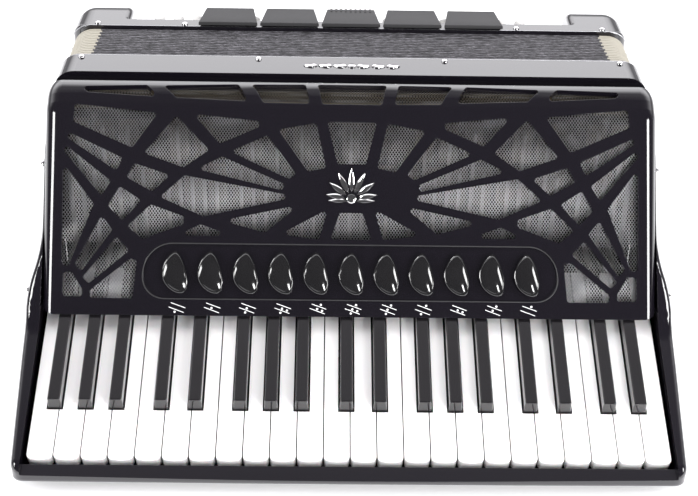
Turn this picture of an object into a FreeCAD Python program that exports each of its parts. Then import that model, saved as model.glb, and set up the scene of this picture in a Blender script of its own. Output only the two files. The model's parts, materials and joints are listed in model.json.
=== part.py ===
"""Piano accordion with 41 keys and 120 basses, lying on its back.

Millimetres, +Z up. X runs along the keyboard with the low notes at -X. The keyboard
looks towards -Y, the bass end towards +Y, and the instrument's front faces +Z. The
origin is in the middle of the rest plane. Lengths come from the "sizes" sheet.
"""
import FreeCAD, Part
import math
import os

import Sketcher
from FreeCAD import Placement, Rotation, Vector

DIMENSIONS = (
    ("key_pitch", 19.8, "one white key with its gap"),
    ("key_gap", 0.8, "air between neighbouring keys"),
    ("white_count", 24, "white keys"),
    ("key_tilt", 20.5, "rise of the key plane towards the grille, degrees"),
    ("tip_y", -208, "front end of the white keys"),
    ("tip_z", 27, "top of the white keys at their front end"),
    ("key_length", 172, "white key from tip to hidden rear end"),
    ("key_depth", 11, "key block below its playing surface"),
    ("tip_corner", 4.2, "rounding of the white key's front corners"),
    ("tip_bow", 2, "bow of the white key's front edge"),
    ("black_start", 43, "white key tip to black key front"),
    ("black_height", 10, "black key above the white keys"),
    ("black_width", 10.6, "black key at its foot"),
    ("black_top", 9.2, "black key across its top"),
    ("black_slope", 2, "slope of the black key's front"),
    ("notch_gap", 0.9, "air beside a black key"),
    ("axle_y", -58, "key axle"),
    ("axle_z", 78, "key axle"),
    ("axle_radius", 2, "key axle rod"),
    ("axle_play", 0.05, "running clearance of the key axle"),
    ("axle_seat", 6, "key axle into each cheek"),
    ("lever_thick", 2, "aluminium key lever across"),
    ("lever_depth", 8, "aluminium key lever edge to edge"),
    ("pallet_width", 14, "felted pallet along the keyboard"),
    ("pallet_height", 30, "felted pallet up the pallet board"),
    ("pallet_depth", 11, "felted pallet thickness"),
    ("pallet_gap", 0.4, "felt to pallet board"),
    ("white_pallet_z", 118, "foot of the lower pallet row"),
    ("black_pallet_z", 158, "foot of the upper pallet row"),
    ("case_width", 480, "treble and bass case along the keyboard"),
    ("case_height", 222, "back plane to front plane"),
    ("case_corner", 18, "rounding of the long case edges"),
    ("wall", 7, "wooden case wall"),
    ("board_y", 18, "outer face of the pallet board"),
    ("board_thick", 8, "pallet board"),
    ("band_y", 34, "treble case band, keyboard side"),
    ("neck_drop", 8, "recess between grille and band"),
    ("bellows_y", 66, "treble case to bellows"),
    ("bass_y", 122.5, "bellows to bass case"),
    ("bass_end_y", 184, "outer face of the bass case"),
    ("bass_round", 30, "rounding of the bass case's outer front edge"),
    ("hump_round", 5, "rounding where the bass case steps down to the buttons"),
    ("bellows_inset", 4, "bellows behind the case faces"),
    ("bellows_wall", 24, "depth of the folded ring"),
    ("section_count", 2, "bellows sections that follow the draw"),
    ("fold_count", 7, "folds in one bellows section"),
    ("section_gap", 0.5, "air between bellows sections"),
    ("lip_y", -101, "lower lip of the grille"),
    ("lip_z", 80, "lower lip of the grille"),
    ("bend_y", -8, "bend at the top of the grille face"),
    ("bend_z", 212, "bend at the top of the grille face"),
    ("crown_y", 8, "end of the bend on the front plane"),
    ("bend_radius", 22, "rounding of the bend"),
    ("grille_wall", 4, "grille cover thickness"),
    ("grille_side", 4.5, "grille side wall"),
    ("key_room_wall", 2.4, "grille side wall beside the outer keys"),
    ("grille_corner", 12, "rounding of the grille's side edges"),
    ("window_corner", 2.2, "corner radius of the grille windows"),
    ("mesh_gap", 0.6, "grille cover to mesh"),
    ("mesh_thick", 0.8, "metal mesh sheet"),
    ("panel_length", 328, "register recess along the keyboard"),
    ("panel_low", 13, "lip to the foot of the register recess"),
    ("panel_height", 43, "register recess up the face"),
    ("panel_depth", 1.6, "register recess into the face"),
    ("switch_count", 11, "treble register switches"),
    ("switch_pitch", 27.3, "between treble register switches"),
    ("switch_low", 17, "lip to the foot of a register switch"),
    ("switch_lift", 2.6, "switch plate above the recess floor"),
    ("switch_thick", 2.6, "switch plate"),
    ("stem_radius", 2.5, "switch stem"),
    ("stem_play", 0.1, "clearance of a switch stem"),
    ("frame_inner", 480.6, "between the keyboard cheeks"),
    ("cheek_thick", 12, "keyboard cheek"),
    ("cheek_front", 7, "keyboard cheek at the front rail"),
    ("cheek_head", 1.5, "keyboard cheek beside the grille"),
    ("cheek_edge", 5, "rounding of the cheeks' outer edges"),
    ("rail_corner", 10, "rounding of the front rail's corners"),
    ("rail_y", -222, "front of the keyboard rail"),
    ("rail_depth", 11.5, "keyboard front rail"),
    ("floor_thick", 4, "keyboard back board"),
    ("rest_z", 58, "top of the rest rail under the keys"),
    ("spring_width", 3, "key spring across"),
    ("spring_thick", 0.8, "key spring leaf"),
    ("spring_flat", 12, "key spring held on the rest rail"),
    ("spring_reach", 45, "key axle to the free end of the spring"),
    ("spring_drop", 15.9, "free end of the spring below its root"),
    ("button_columns", 20, "bass button columns"),
    ("button_rows", 6, "bass button rows"),
    ("column_pitch", 16.5, "between bass button columns"),
    ("row_pitch", 11.6, "between bass button rows"),
    ("row_first", 8, "recess corner to the first button row"),
    ("row_shift", 3.6, "sideways step from row to row"),
    ("button_radius", 4.6, "bass button"),
    ("button_height", 13, "bass button above its board"),
    ("recess_length", 380, "bass button recess"),
    ("recess_y", 136, "bass button recess, bellows side"),
    ("recess_angle", 52, "slope of the button board, degrees"),
    ("tab_count", 5, "bass register tabs"),
    ("tab_pitch", 52.4, "between bass register tabs"),
    ("tab_base", 50, "bass register tab, bellows side"),
    ("tab_top", 41, "bass register tab, outer side"),
    ("tab_length", 30.5, "bass register tab"),
    ("tab_thick", 3.6, "bass register tab"),
    ("tab_lift", 1.2, "tab above the bass case"),
    ("strap_width", 62, "hand strap"),
    ("strap_thick", 5, "hand strap"),
    ("strap_reach", 31.8, "bow of the hand strap"),
    ("strap_span", 404, "hand strap between its ends"),
    ("strap_low", 18, "hand strap above the back plane"),
    ("wheel_radius", 11, "strap thumbwheel"),
    ("wheel_thick", 6, "strap thumbwheel"),
)

NOTES = ("f", "f_sharp", "g", "g_sharp", "a", "a_sharp", "b", "c", "c_sharp", "d", "d_sharp", "e")
BLACK_OFFSETS = {"c_sharp": -2.8, "d_sharp": 2.8, "f_sharp": -3.2, "g_sharp": 0.0, "a_sharp": 3.2}
KEY_COUNT = 41
FIRST_OCTAVE = 3
C_STEP = NOTES.index("c")

doc = FreeCAD.newDocument("piano_accordion")
sheet = doc.addObject("Spreadsheet::Sheet", "sizes")


def fill_sheet():
    for row, (alias, value, meaning) in enumerate(DIMENSIONS, start=1):
        sheet.set("A%d" % row, alias)
        sheet.set("B%d" % row, str(value))
        sheet.setAlias("B%d" % row, alias)
        sheet.set("C%d" % row, meaning)
    doc.recompute()


fill_sheet()


class Size:
    """A sheet length with its present value and the expression that gives it."""

    def __init__(self, value, text):
        self.value = value
        self.text = text

    def __add__(self, other):
        return Size(self.value + number(other), "(%s + %s)" % (self.text, text_of(other)))

    def __sub__(self, other):
        return Size(self.value - number(other), "(%s - %s)" % (self.text, text_of(other)))

    def __mul__(self, other):
        return Size(self.value * number(other), "(%s * %s)" % (self.text, text_of(other)))

    def __truediv__(self, other):
        return Size(self.value / number(other), "(%s / %s)" % (self.text, text_of(other)))

    def __neg__(self):
        return Size(-self.value, "(0 - %s)" % self.text)


def number(size):
    return size.value if isinstance(size, Size) else float(size)


def text_of(size):
    return size.text if isinstance(size, Size) else "%.6f" % size


def size(alias):
    return Size(float(sheet.get(alias)), "sizes.%s" % alias)


def val(alias):
    return float(sheet.get(alias))


def sine(angle):
    return Size(math.sin(math.radians(angle.value)), "sin(%s)" % angle.text)


def cosine(angle):
    return Size(math.cos(math.radians(angle.value)), "cos(%s)" % angle.text)


def bind(feature, prop, amount):
    """Give a property its value, tied to the sheet where the amount is a sheet size."""
    if isinstance(amount, Size):
        feature.setExpression(prop, amount.text)
    else:
        setattr(feature, prop, amount)


def new_body(name):
    body = doc.addObject("PartDesign::Body", name)
    body.Label = name
    body.AllowCompound = True
    return body


def new_sketch(body, role, offset=None):
    plane = next(p for p in body.Origin.OriginFeatures if p.Role == role)
    sketch = body.newObject("Sketcher::SketchObject", body.Name + "_outline")
    sketch.AttachmentSupport = [(plane, "")]
    sketch.MapMode = "FlatFace"
    if offset is not None:
        sketch.AttachmentOffset = offset
    return sketch


def tie(sketch, kind, edge, amount):
    """Fix one coordinate of an edge's start point."""
    if abs(number(amount)) < 1e-9:
        axis = -2 if kind == "DistanceX" else -1
        sketch.addConstraint(Sketcher.Constraint("PointOnObject", edge, 1, axis))
        return
    index = sketch.addConstraint(Sketcher.Constraint(kind, edge, 1, number(amount)))
    if isinstance(amount, Size):
        sketch.setExpression("Constraints[%d]" % index, amount.text)


def add_outline(sketch, points):
    """Closed straight-sided outline with every corner tied to the sheet."""
    first = sketch.GeometryCount
    count = len(points)
    corners = [Vector(number(across), number(up), 0) for across, up in points]
    for start, end in zip(corners, corners[1:] + corners[:1]):
        sketch.addGeometry(Part.LineSegment(start, end), False)
    for step in range(count):
        following = first + (step + 1) % count
        sketch.addConstraint(Sketcher.Constraint("Coincident", first + step, 2, following, 1))
    for step, (across, up) in enumerate(points):
        tie(sketch, "DistanceX", first + step, across)
        tie(sketch, "DistanceY", first + step, up)


def add_box_outline(sketch, low, high, bottom, top):
    add_outline(sketch, [(low, bottom), (high, bottom), (high, top), (low, top)])


def add_circle(sketch, across, up, radius):
    centre = Vector(number(across), number(up), 0)
    edge = sketch.addGeometry(Part.Circle(centre, Vector(0, 0, 1), number(radius)), False)
    index = sketch.addConstraint(Sketcher.Constraint("Radius", edge, number(radius)))
    if isinstance(radius, Size):
        sketch.setExpression("Constraints[%d]" % index, radius.text)


def corner_arc(before, corner, after, radius):
    """Start, middle and end of the arc that rounds one corner."""
    to_before = (before - corner).normalize()
    to_after = (after - corner).normalize()
    half = to_before.getAngle(to_after) / 2
    reach = radius / math.tan(half)
    centre = corner + (to_before + to_after).normalize() * (radius / math.sin(half))
    middle = centre + (corner - centre).normalize() * radius
    return corner + to_before * reach, middle, corner + to_after * reach


def rounded_edges(points, radii):
    """Lines and arcs of a closed outline; radii is one radius, or one for each corner."""
    corners = [Vector(across, up, 0) for across, up in points]
    if isinstance(radii, (int, float)):
        radii = [radii] * len(corners)
    arcs = []
    for index, corner in enumerate(corners):
        after = corners[(index + 1) % len(corners)]
        arcs.append(corner_arc(corners[index - 1], corner, after, radii[index]))
    edges = []
    for index, (start, middle, end) in enumerate(arcs):
        edges.append(Part.Arc(start, middle, end))
        edges.append(Part.LineSegment(end, arcs[(index + 1) % len(arcs)][0]))
    return edges


def add_rounded_outline(sketch, points, radii):
    add_edges(sketch, rounded_edges(points, radii))


def add_edges(sketch, edges):
    for edge in edges:
        sketch.addGeometry(edge, False)


def pad(body, sketch, length, symmetric=False, reverse=False):
    feature = body.newObject("PartDesign::Pad", body.Name + "_pad")
    feature.Profile = sketch
    feature.SideType = "Symmetric" if symmetric else "One side"
    feature.Reversed = reverse
    bind(feature, "Length", length)
    return feature


def pocket(body, sketch, length=None, symmetric=False, reverse=False):
    feature = body.newObject("PartDesign::Pocket", body.Name + "_pocket")
    feature.Profile = sketch
    feature.SideType = "Symmetric" if symmetric else "One side"
    feature.Reversed = reverse
    if length is None:
        feature.Type = "ThroughAll"
    else:
        bind(feature, "Length", length)
    return feature


def round_edges(body, radius, chosen):
    """Fillet the edges of the body's tip whose middle and direction the test accepts."""
    doc.recompute()
    tip = body.Tip
    names = []
    for index, edge in enumerate(tip.Shape.Edges, start=1):
        start, end = edge.Vertexes[0].Point, edge.Vertexes[-1].Point
        if chosen(edge.BoundBox.Center, end - start):
            names.append("Edge%d" % index)
    feature = body.newObject("PartDesign::Fillet", body.Name + "_fillet")
    feature.Base = (tip, names)
    bind(feature, "Radius", radius)
    return feature


def solid_group(name, solids, place=None):
    """One node holding several separate solids."""
    group = doc.addObject("Part::Feature", name)
    group.Label = name
    group.Shape = Part.makeCompound(solids)
    if place is not None:
        group.Placement = place
    return group


def extruded(points, start, width):
    """Prism along X from an outline in the YZ plane."""
    corners = [Vector(start, y, z) for y, z in points]
    face = Part.Face(Part.makePolygon(corners + corners[:1]))
    return face.extrude(Vector(width, 0, 0))


# --- keyboard -------------------------------------------------------------------------------

def key_notes():
    """Number, note, octave, colour and X of each key's lever, low to high."""
    keys = []
    white_index = 0
    left_end = -val("key_pitch") * val("white_count") / 2
    for index in range(KEY_COUNT):
        note = NOTES[index % len(NOTES)]
        octave = FIRST_OCTAVE + (index + len(NOTES) - C_STEP) // len(NOTES)
        black = note in BLACK_OFFSETS
        if black:
            x = left_end + white_index * val("key_pitch")
        else:
            x = left_end + (white_index + 0.5) * val("key_pitch")
            white_index += 1
        keys.append((index + 1, note, octave, black, x))
    return keys


def in_key_frame(y, z):
    """A point of the YZ plane seen from the tilted frame of a key."""
    tilt = size("key_tilt")
    along = (y - size("tip_y")) * cosine(tilt) + (z - size("tip_z")) * sine(tilt)
    above = (z - size("tip_z")) * cosine(tilt) - (y - size("tip_y")) * sine(tilt)
    return along, above


def key_box(body, low, high, bottom, top, width):
    """Bar of a key between two heights, square to the case, centred on the lever."""
    corners = [in_key_frame(y, z) for y, z in ((low, bottom), (high, bottom), (high, top), (low, top))]
    sketch = new_sketch(body, "YZ_Plane")
    add_outline(sketch, corners)
    pad(body, sketch, width, symmetric=True)


def add_lever(body, pallet_z):
    """Aluminium lever from the key's rear up to its felted pallet."""
    foot = size("axle_z") - 2
    front = size("board_y") - size("pallet_gap") - size("pallet_depth")
    rear_of_key = size("axle_y") + 10
    top = pallet_z + size("pallet_height")
    depth = size("lever_depth")
    key_box(body, rear_of_key, front, foot, foot + depth, size("lever_thick"))
    key_box(body, front - depth, front, foot, top, size("lever_thick"))
    key_box(body, front, front + size("pallet_depth"), pallet_z, top, size("pallet_width"))


def add_axle_hole(body):
    along, above = in_key_frame(size("axle_y"), size("axle_z"))
    sketch = new_sketch(body, "YZ_Plane")
    add_circle(sketch, along, above, size("axle_radius") + size("axle_play"))
    pocket(body, sketch, symmetric=True)


def place_key(body, x):
    body.Placement = Placement(Vector(x, val("tip_y"), val("tip_z")),
                               Rotation(Vector(1, 0, 0), val("key_tilt")))
    body.setExpression(".Placement.Base.y", "sizes.tip_y")
    body.setExpression(".Placement.Base.z", "sizes.tip_z")
    body.setExpression(".Placement.Rotation.Angle", "sizes.key_tilt")


def white_edges(before, after):
    """Left and right side of a white key's narrow part, beside its black neighbours."""
    half = (size("key_pitch") - size("key_gap")) / 2
    reach = size("black_width") / 2 + size("notch_gap")
    left, right = -half, half
    if before in BLACK_OFFSETS:
        left = -size("key_pitch") / 2 + BLACK_OFFSETS[before] + reach
    if after in BLACK_OFFSETS:
        right = size("key_pitch") / 2 + BLACK_OFFSETS[after] - reach
    return left, right


def is_tip_side(centre, run):
    return centre.y < val("tip_bow") + 1 and abs(run.z) > 5


def is_white_top(centre, run):
    return abs(centre.z) < 0.01 and abs(centre.y) < 45


def build_white_key(name, x, before, after):
    body = new_body(name)
    half = (size("key_pitch") - size("key_gap")) / 2
    left, right = white_edges(before, after)
    shoulder = size("black_start") - size("notch_gap")
    rear = size("key_length")
    sketch = new_sketch(body, "XY_Plane")
    outline = [(-half, 0), (half, 0), (half, shoulder), (right, shoulder), (right, rear),
               (left, rear), (left, shoulder), (-half, shoulder)]
    add_outline(sketch, straightened(outline))
    pad(body, sketch, size("key_depth"), reverse=True)
    bow = new_sketch(body, "XY_Plane")
    add_edges(bow, bow_edges(number(half) + 1, val("tip_bow")))
    pocket(body, bow, symmetric=True)
    round_edges(body, size("tip_corner"), is_tip_side)
    round_edges(body, 0.8, is_white_top)
    add_lever(body, size("white_pallet_z"))
    add_axle_hole(body)
    place_key(body, x)


def bow_edges(half, bow):
    """Outline of what is cut in front of the white key's bowed tip."""
    left, right = Vector(-half, bow, 0), Vector(half, bow, 0)
    outer_left, outer_right = Vector(-half, -bow, 0), Vector(half, -bow, 0)
    return [Part.Arc(left, Vector(0, 0, 0), right), Part.LineSegment(right, outer_right),
            Part.LineSegment(outer_right, outer_left), Part.LineSegment(outer_left, left)]


def straightened(points):
    """The outline without doubled corners and corners on a straight side."""
    values = [(number(across), number(up)) for across, up in points]
    kept = []
    for index, (across, up) in enumerate(values):
        before = values[index - 1]
        after = values[(index + 1) % len(values)]
        upright = before[0] == across == after[0]
        level = before[1] == up == after[1]
        if (across, up) != before and not upright and not level:
            kept.append(points[index])
    return kept


def is_black_ridge(centre, run):
    on_top = centre.z > val("black_height") - 0.1 and centre.y < val("key_length") - 1
    front_side = centre.z > 2 and centre.y < val("black_start") + val("black_slope") and abs(run.z) > 5
    return on_top or front_side


def build_black_key(name, x, note):
    body = new_body(name)
    middle = BLACK_OFFSETS[note]
    half = size("black_width") / 2
    half_top = size("black_top") / 2
    start, rear = size("black_start"), size("key_length")
    foot = new_sketch(body, "XY_Plane")
    add_box_outline(foot, -half + middle, half + middle, start, rear)
    pad(body, foot, size("key_depth"), reverse=True)
    ground = new_sketch(body, "XY_Plane")
    add_box_outline(ground, -half + middle, half + middle, start, rear)
    ridge = new_sketch(body, "XY_Plane", Placement(Vector(0, 0, val("black_height")), Rotation()))
    add_box_outline(ridge, -half_top + middle, half_top + middle, start + size("black_slope"), rear)
    loft = body.newObject("PartDesign::AdditiveLoft", name + "_loft")
    loft.Profile = ground
    loft.Sections = [ridge]
    round_edges(body, 1.1, is_black_ridge)
    add_lever(body, size("black_pallet_z"))
    add_axle_hole(body)
    place_key(body, x)


def build_keys():
    keys = key_notes()
    for index, (order, note, octave, black, x) in enumerate(keys):
        name = "key_%02d_%s%d" % (order, note, octave)
        if black:
            build_black_key(name, x, note)
        else:
            before = keys[index - 1][1] if index else None
            after = keys[index + 1][1] if index + 1 < KEY_COUNT else None
            build_white_key(name, x, before, after)


def build_key_axle():
    body = new_body("key_axle")
    sketch = new_sketch(body, "YZ_Plane")
    add_circle(sketch, size("axle_y"), size("axle_z"), size("axle_radius"))
    pad(body, sketch, size("frame_inner") + size("axle_seat") * 2, symmetric=True)


def cheek_outline():
    """Side of the keyboard frame: corners in Y and Z, and the radius of each."""
    front = val("rail_y")
    back = val("board_y") - 0.4
    corners = ((front, 17), (front, 22), (front + 9, 29), (val("lip_y") - 3, 74), (-48, 140),
               (-14, 184), (back, 192), (back, 0), (front + 26, 0))
    radii = (2, 3, 10, 45, 40, 25, 1, 1, 4)
    return corners, radii


def plan_outline():
    """Front view of the keyboard frame: corners in X and Y, and the radius of each."""
    wide = val("frame_inner") / 2 + val("cheek_thick")
    narrow = val("frame_inner") / 2 + val("cheek_front")
    front, hip, back = val("rail_y"), val("lip_y") - 3, val("board_y") + 20
    ends = front + 3
    corners = ((wide, back), (-wide, back), (-wide, hip), (-narrow, ends), (0, front - 0.7), (narrow, ends),
               (wide, hip))
    corner = val("rail_corner")
    radii = (1, 1, 1500, corner, 8000, corner, 1500)
    return corners, radii


S_CURVE_FOOT = 76
S_CURVE_HEAD = 130
CHEEK_TOP = 200


def s_curve_radius():
    rise = S_CURVE_HEAD - S_CURVE_FOOT
    shift = val("cheek_thick") - val("cheek_head")
    return (rise * rise + shift * shift) / (4 * shift)


def cheek_surface(z):
    """Outer X of the cheek at a height: wide below, drawn in along an S-curve to the grille."""
    wide = val("frame_inner") / 2 + val("cheek_thick")
    thin = val("frame_inner") / 2 + val("cheek_head")
    radius = s_curve_radius()
    middle = (S_CURVE_FOOT + S_CURVE_HEAD) / 2
    if z <= S_CURVE_FOOT:
        return wide
    if z >= S_CURVE_HEAD:
        return thin
    if z < middle:
        return wide - radius + math.sqrt(radius ** 2 - (z - S_CURVE_FOOT) ** 2)
    return thin + radius - math.sqrt(radius ** 2 - (S_CURVE_HEAD - z) ** 2)


def cheek_taper(side):
    """Outline of what is cut from the outside of one cheek above the keys."""
    quarter = (S_CURVE_HEAD - S_CURVE_FOOT) / 4
    heights = [S_CURVE_FOOT + quarter * step for step in range(5)]
    curve = [Vector(side * cheek_surface(z), z, 0) for z in heights]
    clear = side * (cheek_surface(0) + 8)
    head = Vector(curve[-1].x, CHEEK_TOP, 0)
    outer_head, outer_foot = Vector(clear, CHEEK_TOP, 0), Vector(clear, S_CURVE_FOOT, 0)
    corners = [curve[-1], head, outer_head, outer_foot, curve[0]]
    lines = [Part.LineSegment(start, end) for start, end in zip(corners, corners[1:])]
    return [Part.Arc(*curve[:3]), Part.Arc(*curve[2:])] + lines


def is_outer_cheek_edge(centre, run):
    on_side = abs(centre.x) > val("frame_inner") / 2 + 5
    lengthwise = abs(run.y) > 0.5 and abs(run.x) < 6
    return on_side and lengthwise and centre.z > 21 and centre.z < S_CURVE_FOOT + 2


def build_keyboard_frame():
    body = new_body("keyboard_frame")
    inner = size("frame_inner")
    sketch = new_sketch(body, "YZ_Plane")
    add_rounded_outline(sketch, *cheek_outline())
    pad(body, sketch, inner + size("cheek_thick") * 2, symmetric=True)
    plan = new_sketch(body, "XY_Plane")
    add_box_outline(plan, -300, 300, -260, 100)
    add_rounded_outline(plan, *plan_outline())
    pocket(body, plan, symmetric=True)
    taper = new_sketch(body, "XZ_Plane")
    add_edges(taper, cheek_taper(1) + cheek_taper(-1))
    pocket(body, taper, symmetric=True)
    round_edges(body, size("cheek_edge"), is_outer_cheek_edge)
    hollow_keyboard_frame(body)
    rest = new_sketch(body, "YZ_Plane")
    add_box_outline(rest, size("axle_y") - 10, size("axle_y") + 6, size("floor_thick") - 1, size("rest_z"))
    pad(body, rest, inner + 2, symmetric=True)
    bore = new_sketch(body, "YZ_Plane")
    add_circle(bore, size("axle_y"), size("axle_z"), size("axle_radius") + 0.02)
    pocket(body, bore, inner + size("axle_seat") * 2 + 0.1, symmetric=True)


def hollow_keyboard_frame(body):
    """Room for the keys between the cheeks, and a front rail that slopes to its edge."""
    inner = size("frame_inner")
    inside = new_sketch(body, "YZ_Plane")
    floor = size("floor_thick")
    back = size("board_y") + 5
    rail_back = size("rail_y") + size("rail_depth")
    top = CHEEK_TOP + 40
    add_outline(inside, [(rail_back, 13.5), (rail_back, 40), (size("lip_y"), top), (back, top),
                         (back, floor), (rail_back + 16.5, floor)])
    pocket(body, inside, inner, symmetric=True)
    lowered = new_sketch(body, "YZ_Plane")
    add_outline(lowered, [(size("rail_y") - 10, 17), (rail_back + 1, 24.8), (rail_back + 1, 60),
                          (size("rail_y") - 10, 60)])
    pocket(body, lowered, inner, symmetric=True)


def build_key_springs():
    """Leaf springs that lift the keys, one under each, clear of the pressed key."""
    width, thick = val("spring_width"), val("spring_thick")
    root_y, root_z = val("axle_y") + 2, val("rest_z") + 0.4
    bend_y = root_y - val("spring_flat")
    tip_y, tip_z = val("axle_y") - val("spring_reach"), root_z - val("spring_drop")
    leaf = [(root_y, root_z), (bend_y, root_z), (tip_y, tip_z), (tip_y, tip_z + thick),
            (bend_y, root_z + thick), (root_y, root_z + thick)]
    solids = [extruded(leaf, x - width / 2, width) for _, _, _, _, x in key_notes()]
    solid_group("key_springs", solids)


# --- treble case ----------------------------------------------------------------------------

def is_case_corner(centre, run):
    side = abs(centre.x) > val("case_width") / 2 - 0.1
    top_or_bottom = centre.z < 0.1 or centre.z > val("case_height") - 0.1
    return side and top_or_bottom and abs(run.y) > 5


def build_treble_case():
    body = new_body("treble_case")
    board, band, end = size("board_y"), size("band_y"), size("bellows_y")
    top = size("case_height")
    neck = top - size("neck_drop")
    sketch = new_sketch(body, "YZ_Plane")
    add_outline(sketch, [(board, 0), (end, 0), (end, top), (band, top), (band, neck), (board, neck)])
    pad(body, sketch, size("case_width"), symmetric=True)
    round_edges(body, size("case_corner"), is_case_corner)
    hollow = new_sketch(body, "YZ_Plane")
    wall = size("wall")
    add_box_outline(hollow, board + size("board_thick"), end + 1, wall, neck - wall)
    pocket(body, hollow, size("case_width") - wall * 2, symmetric=True)
    ports = new_sketch(body, "XZ_Plane")
    margin = 3
    half = val("pallet_width") / 2 - margin
    for _, _, _, black, x in key_notes():
        foot = val("black_pallet_z" if black else "white_pallet_z") + margin
        head = foot + val("pallet_height") - margin * 2
        port = [(x - half, foot), (x + half, foot), (x + half, head), (x - half, head)]
        add_rounded_outline(ports, port, 1.5)
    pocket(body, ports, board + size("board_thick") + 3, reverse=False)


PLATE_GAP = 1.5
PLATE_MARGIN = 4


def reed_block(thick, depth, length, count, plate_thick):
    """Upright wooden block with a row of reed plates screwed to both of its sides."""
    solids = [Part.makeBox(thick, depth, length)]
    plate_length = (length - PLATE_GAP * (count + 1)) / count
    for side in (-plate_thick, thick):
        for row in range(count):
            corner = Vector(side, PLATE_MARGIN, PLATE_GAP + row * (plate_length + PLATE_GAP))
            solids.append(Part.makeBox(plate_thick, depth - PLATE_MARGIN * 2, plate_length, corner))
    return solids


def lying_reed_blocks(name, block, plate, low_y, heights):
    """Reed blocks laid along X at several heights; block is thickness, depth and length."""
    thick, depth, length = block
    count, plate_thick = plate
    solids = []
    for low_z in heights:
        turned = Placement(Vector(-length / 2, low_y, low_z + thick), Rotation(Vector(0, 1, 0), 90))
        for solid in reed_block(thick, depth, length, count, plate_thick):
            solid.Placement = turned * solid.Placement
            solids.append(solid)
    solid_group(name, solids)


TREBLE_BLOCK = (14, 32, 420)
TREBLE_PLATES = (20, 1.6)
TREBLE_BLOCK_HEIGHTS = (112, 132.5, 153, 173.5)


def build_treble_reed_blocks():
    """Four long blocks behind the pallet board, each with reed plates along both sides."""
    low_y = val("board_y") + val("board_thick")
    lying_reed_blocks("treble_reed_blocks", TREBLE_BLOCK, TREBLE_PLATES, low_y, TREBLE_BLOCK_HEIGHTS)


# --- grille ---------------------------------------------------------------------------------

def face_angle():
    return math.degrees(math.atan2(val("bend_z") - val("lip_z"), val("bend_y") - val("lip_y")))


def face_frame(lift=0.0):
    """Frame on the grille's sloping face: X along the keyboard, Y up the face, Z outward."""
    turn = Rotation(Vector(1, 0, 0), face_angle())
    origin = Vector(0, val("lip_y"), val("lip_z"))
    return Placement(origin + turn.multVec(Vector(0, 0, lift)), turn)


def shifted(first, second, distance):
    """A line moved to its right by a distance."""
    run = (second - first).normalize()
    aside = Vector(run.y, -run.x, 0) * distance
    return first + aside, second + aside


def crossing(line_a, line_b):
    run_a = line_a[1] - line_a[0]
    run_b = line_b[1] - line_b[0]
    spread = run_a.x * run_b.y - run_a.y * run_b.x
    gap = line_b[0] - line_a[0]
    return line_a[0] + run_a * ((gap.x * run_b.y - gap.y * run_b.x) / spread)


def cover_line(inset):
    """Lip, bend, crown and rear end of the cover's section, moved inward by an inset."""
    points = [Vector(val("lip_y"), val("lip_z"), 0), Vector(val("bend_y"), val("bend_z"), 0),
              Vector(val("crown_y"), val("case_height"), 0), Vector(val("board_y"), val("case_height"), 0)]
    lines = [shifted(a, b, inset) for a, b in zip(points, points[1:])]
    joints = [crossing(a, b) for a, b in zip(lines, lines[1:])]
    return [lines[0][0]] + joints + [lines[-1][1]]


def section_edges(inset, bottom, overrun):
    """Closed section of the cover: rounded at bend and crown, square at the foot and back."""
    lip, bend, crown, rear = cover_line(inset)
    foot = lip + (lip - bend).normalize() * overrun
    rear = rear + Vector(overrun, 0, 0)
    radius = val("bend_radius") - inset
    bend_arc = corner_arc(foot, bend, crown, radius)
    crown_arc = corner_arc(bend, crown, rear, radius)
    low = foot.y if bottom is None else bottom
    heel = Vector(rear.x, low, 0)
    toe = Vector(foot.x, low, 0)
    edges = [Part.LineSegment(foot, bend_arc[0]), Part.Arc(*bend_arc),
             Part.LineSegment(bend_arc[2], crown_arc[0]), Part.Arc(*crown_arc),
             Part.LineSegment(crown_arc[2], rear), Part.LineSegment(rear, heel)]
    if bottom is None:
        return edges + [Part.LineSegment(heel, foot)]
    return edges + [Part.LineSegment(heel, toe), Part.LineSegment(toe, foot)]


def add_section(sketch, inset, bottom=None, overrun=0.0):
    for edge in section_edges(inset, bottom, overrun):
        sketch.addGeometry(edge, False)


# Left half of the fretwork in the frame of the sloping face: X along the keyboard from its
# middle, then millimetres up from the lip. The right half is its mirror image.
SIDE_WINDOWS = (
    ((-216, 164), (-151, 157.5), (-171, 130), (-217, 150)),
    ((-221, 142), (-178, 122), (-183, 112), (-221, 137)),
    ((-223, 132), (-187, 104), (-194, 92), (-224, 127)),
    ((-224, 118), (-200, 86), (-219, 37), (-224, 39)),
    ((-137, 155.5), (-111, 129), (-131, 115), (-162, 126)),
    ((-169, 118), (-141, 109), (-155, 96), (-175, 107)),
    ((-180, 100), (-163, 89), (-178, 73), (-189, 85)),
    ((-194, 77), (-185, 66), (-209, 33), (-214, 39)),
    ((-182, 61), (-172, 50), (-203, 24), (-208, 29)),
    ((-223, 33), (-216, 33), (-208, 20), (-208, 14), (-223, 14)),
    ((-171, 44), (-166, 42), (-169, 13), (-202, 13), (-202, 19)),
    ((-124, 157), (-72, 152), (-73, 147), (-103, 134)),
    ((-66, 141), (-43, 111), (-49, 107), (-95, 128)),
    ((-58, 145.5), (-28, 151), (-20, 116), (-34, 113)),
    ((-101, 124), (-52, 103), (-54, 98), (-121, 114)),
    ((-130, 109), (-51, 95), (-52, 91), (-115, 77), (-149, 92)),
    ((-156, 86), (-130, 77), (-130, 71), (-162, 59), (-174, 69)),
    ((-40, 87), (-67, 65), (-101, 74)),
    ((-117, 71), (-91, 62), (-136, 62)),
    ((-18, 84), (-25, 60), (-55, 64)),
)
MIDDLE_WINDOWS = (
    ((-19.5, 152), (19.5, 152), (11, 119), (-11, 119)),
    ((-9, 81), (9, 81), (16, 60), (-16, 60)),
)
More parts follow.
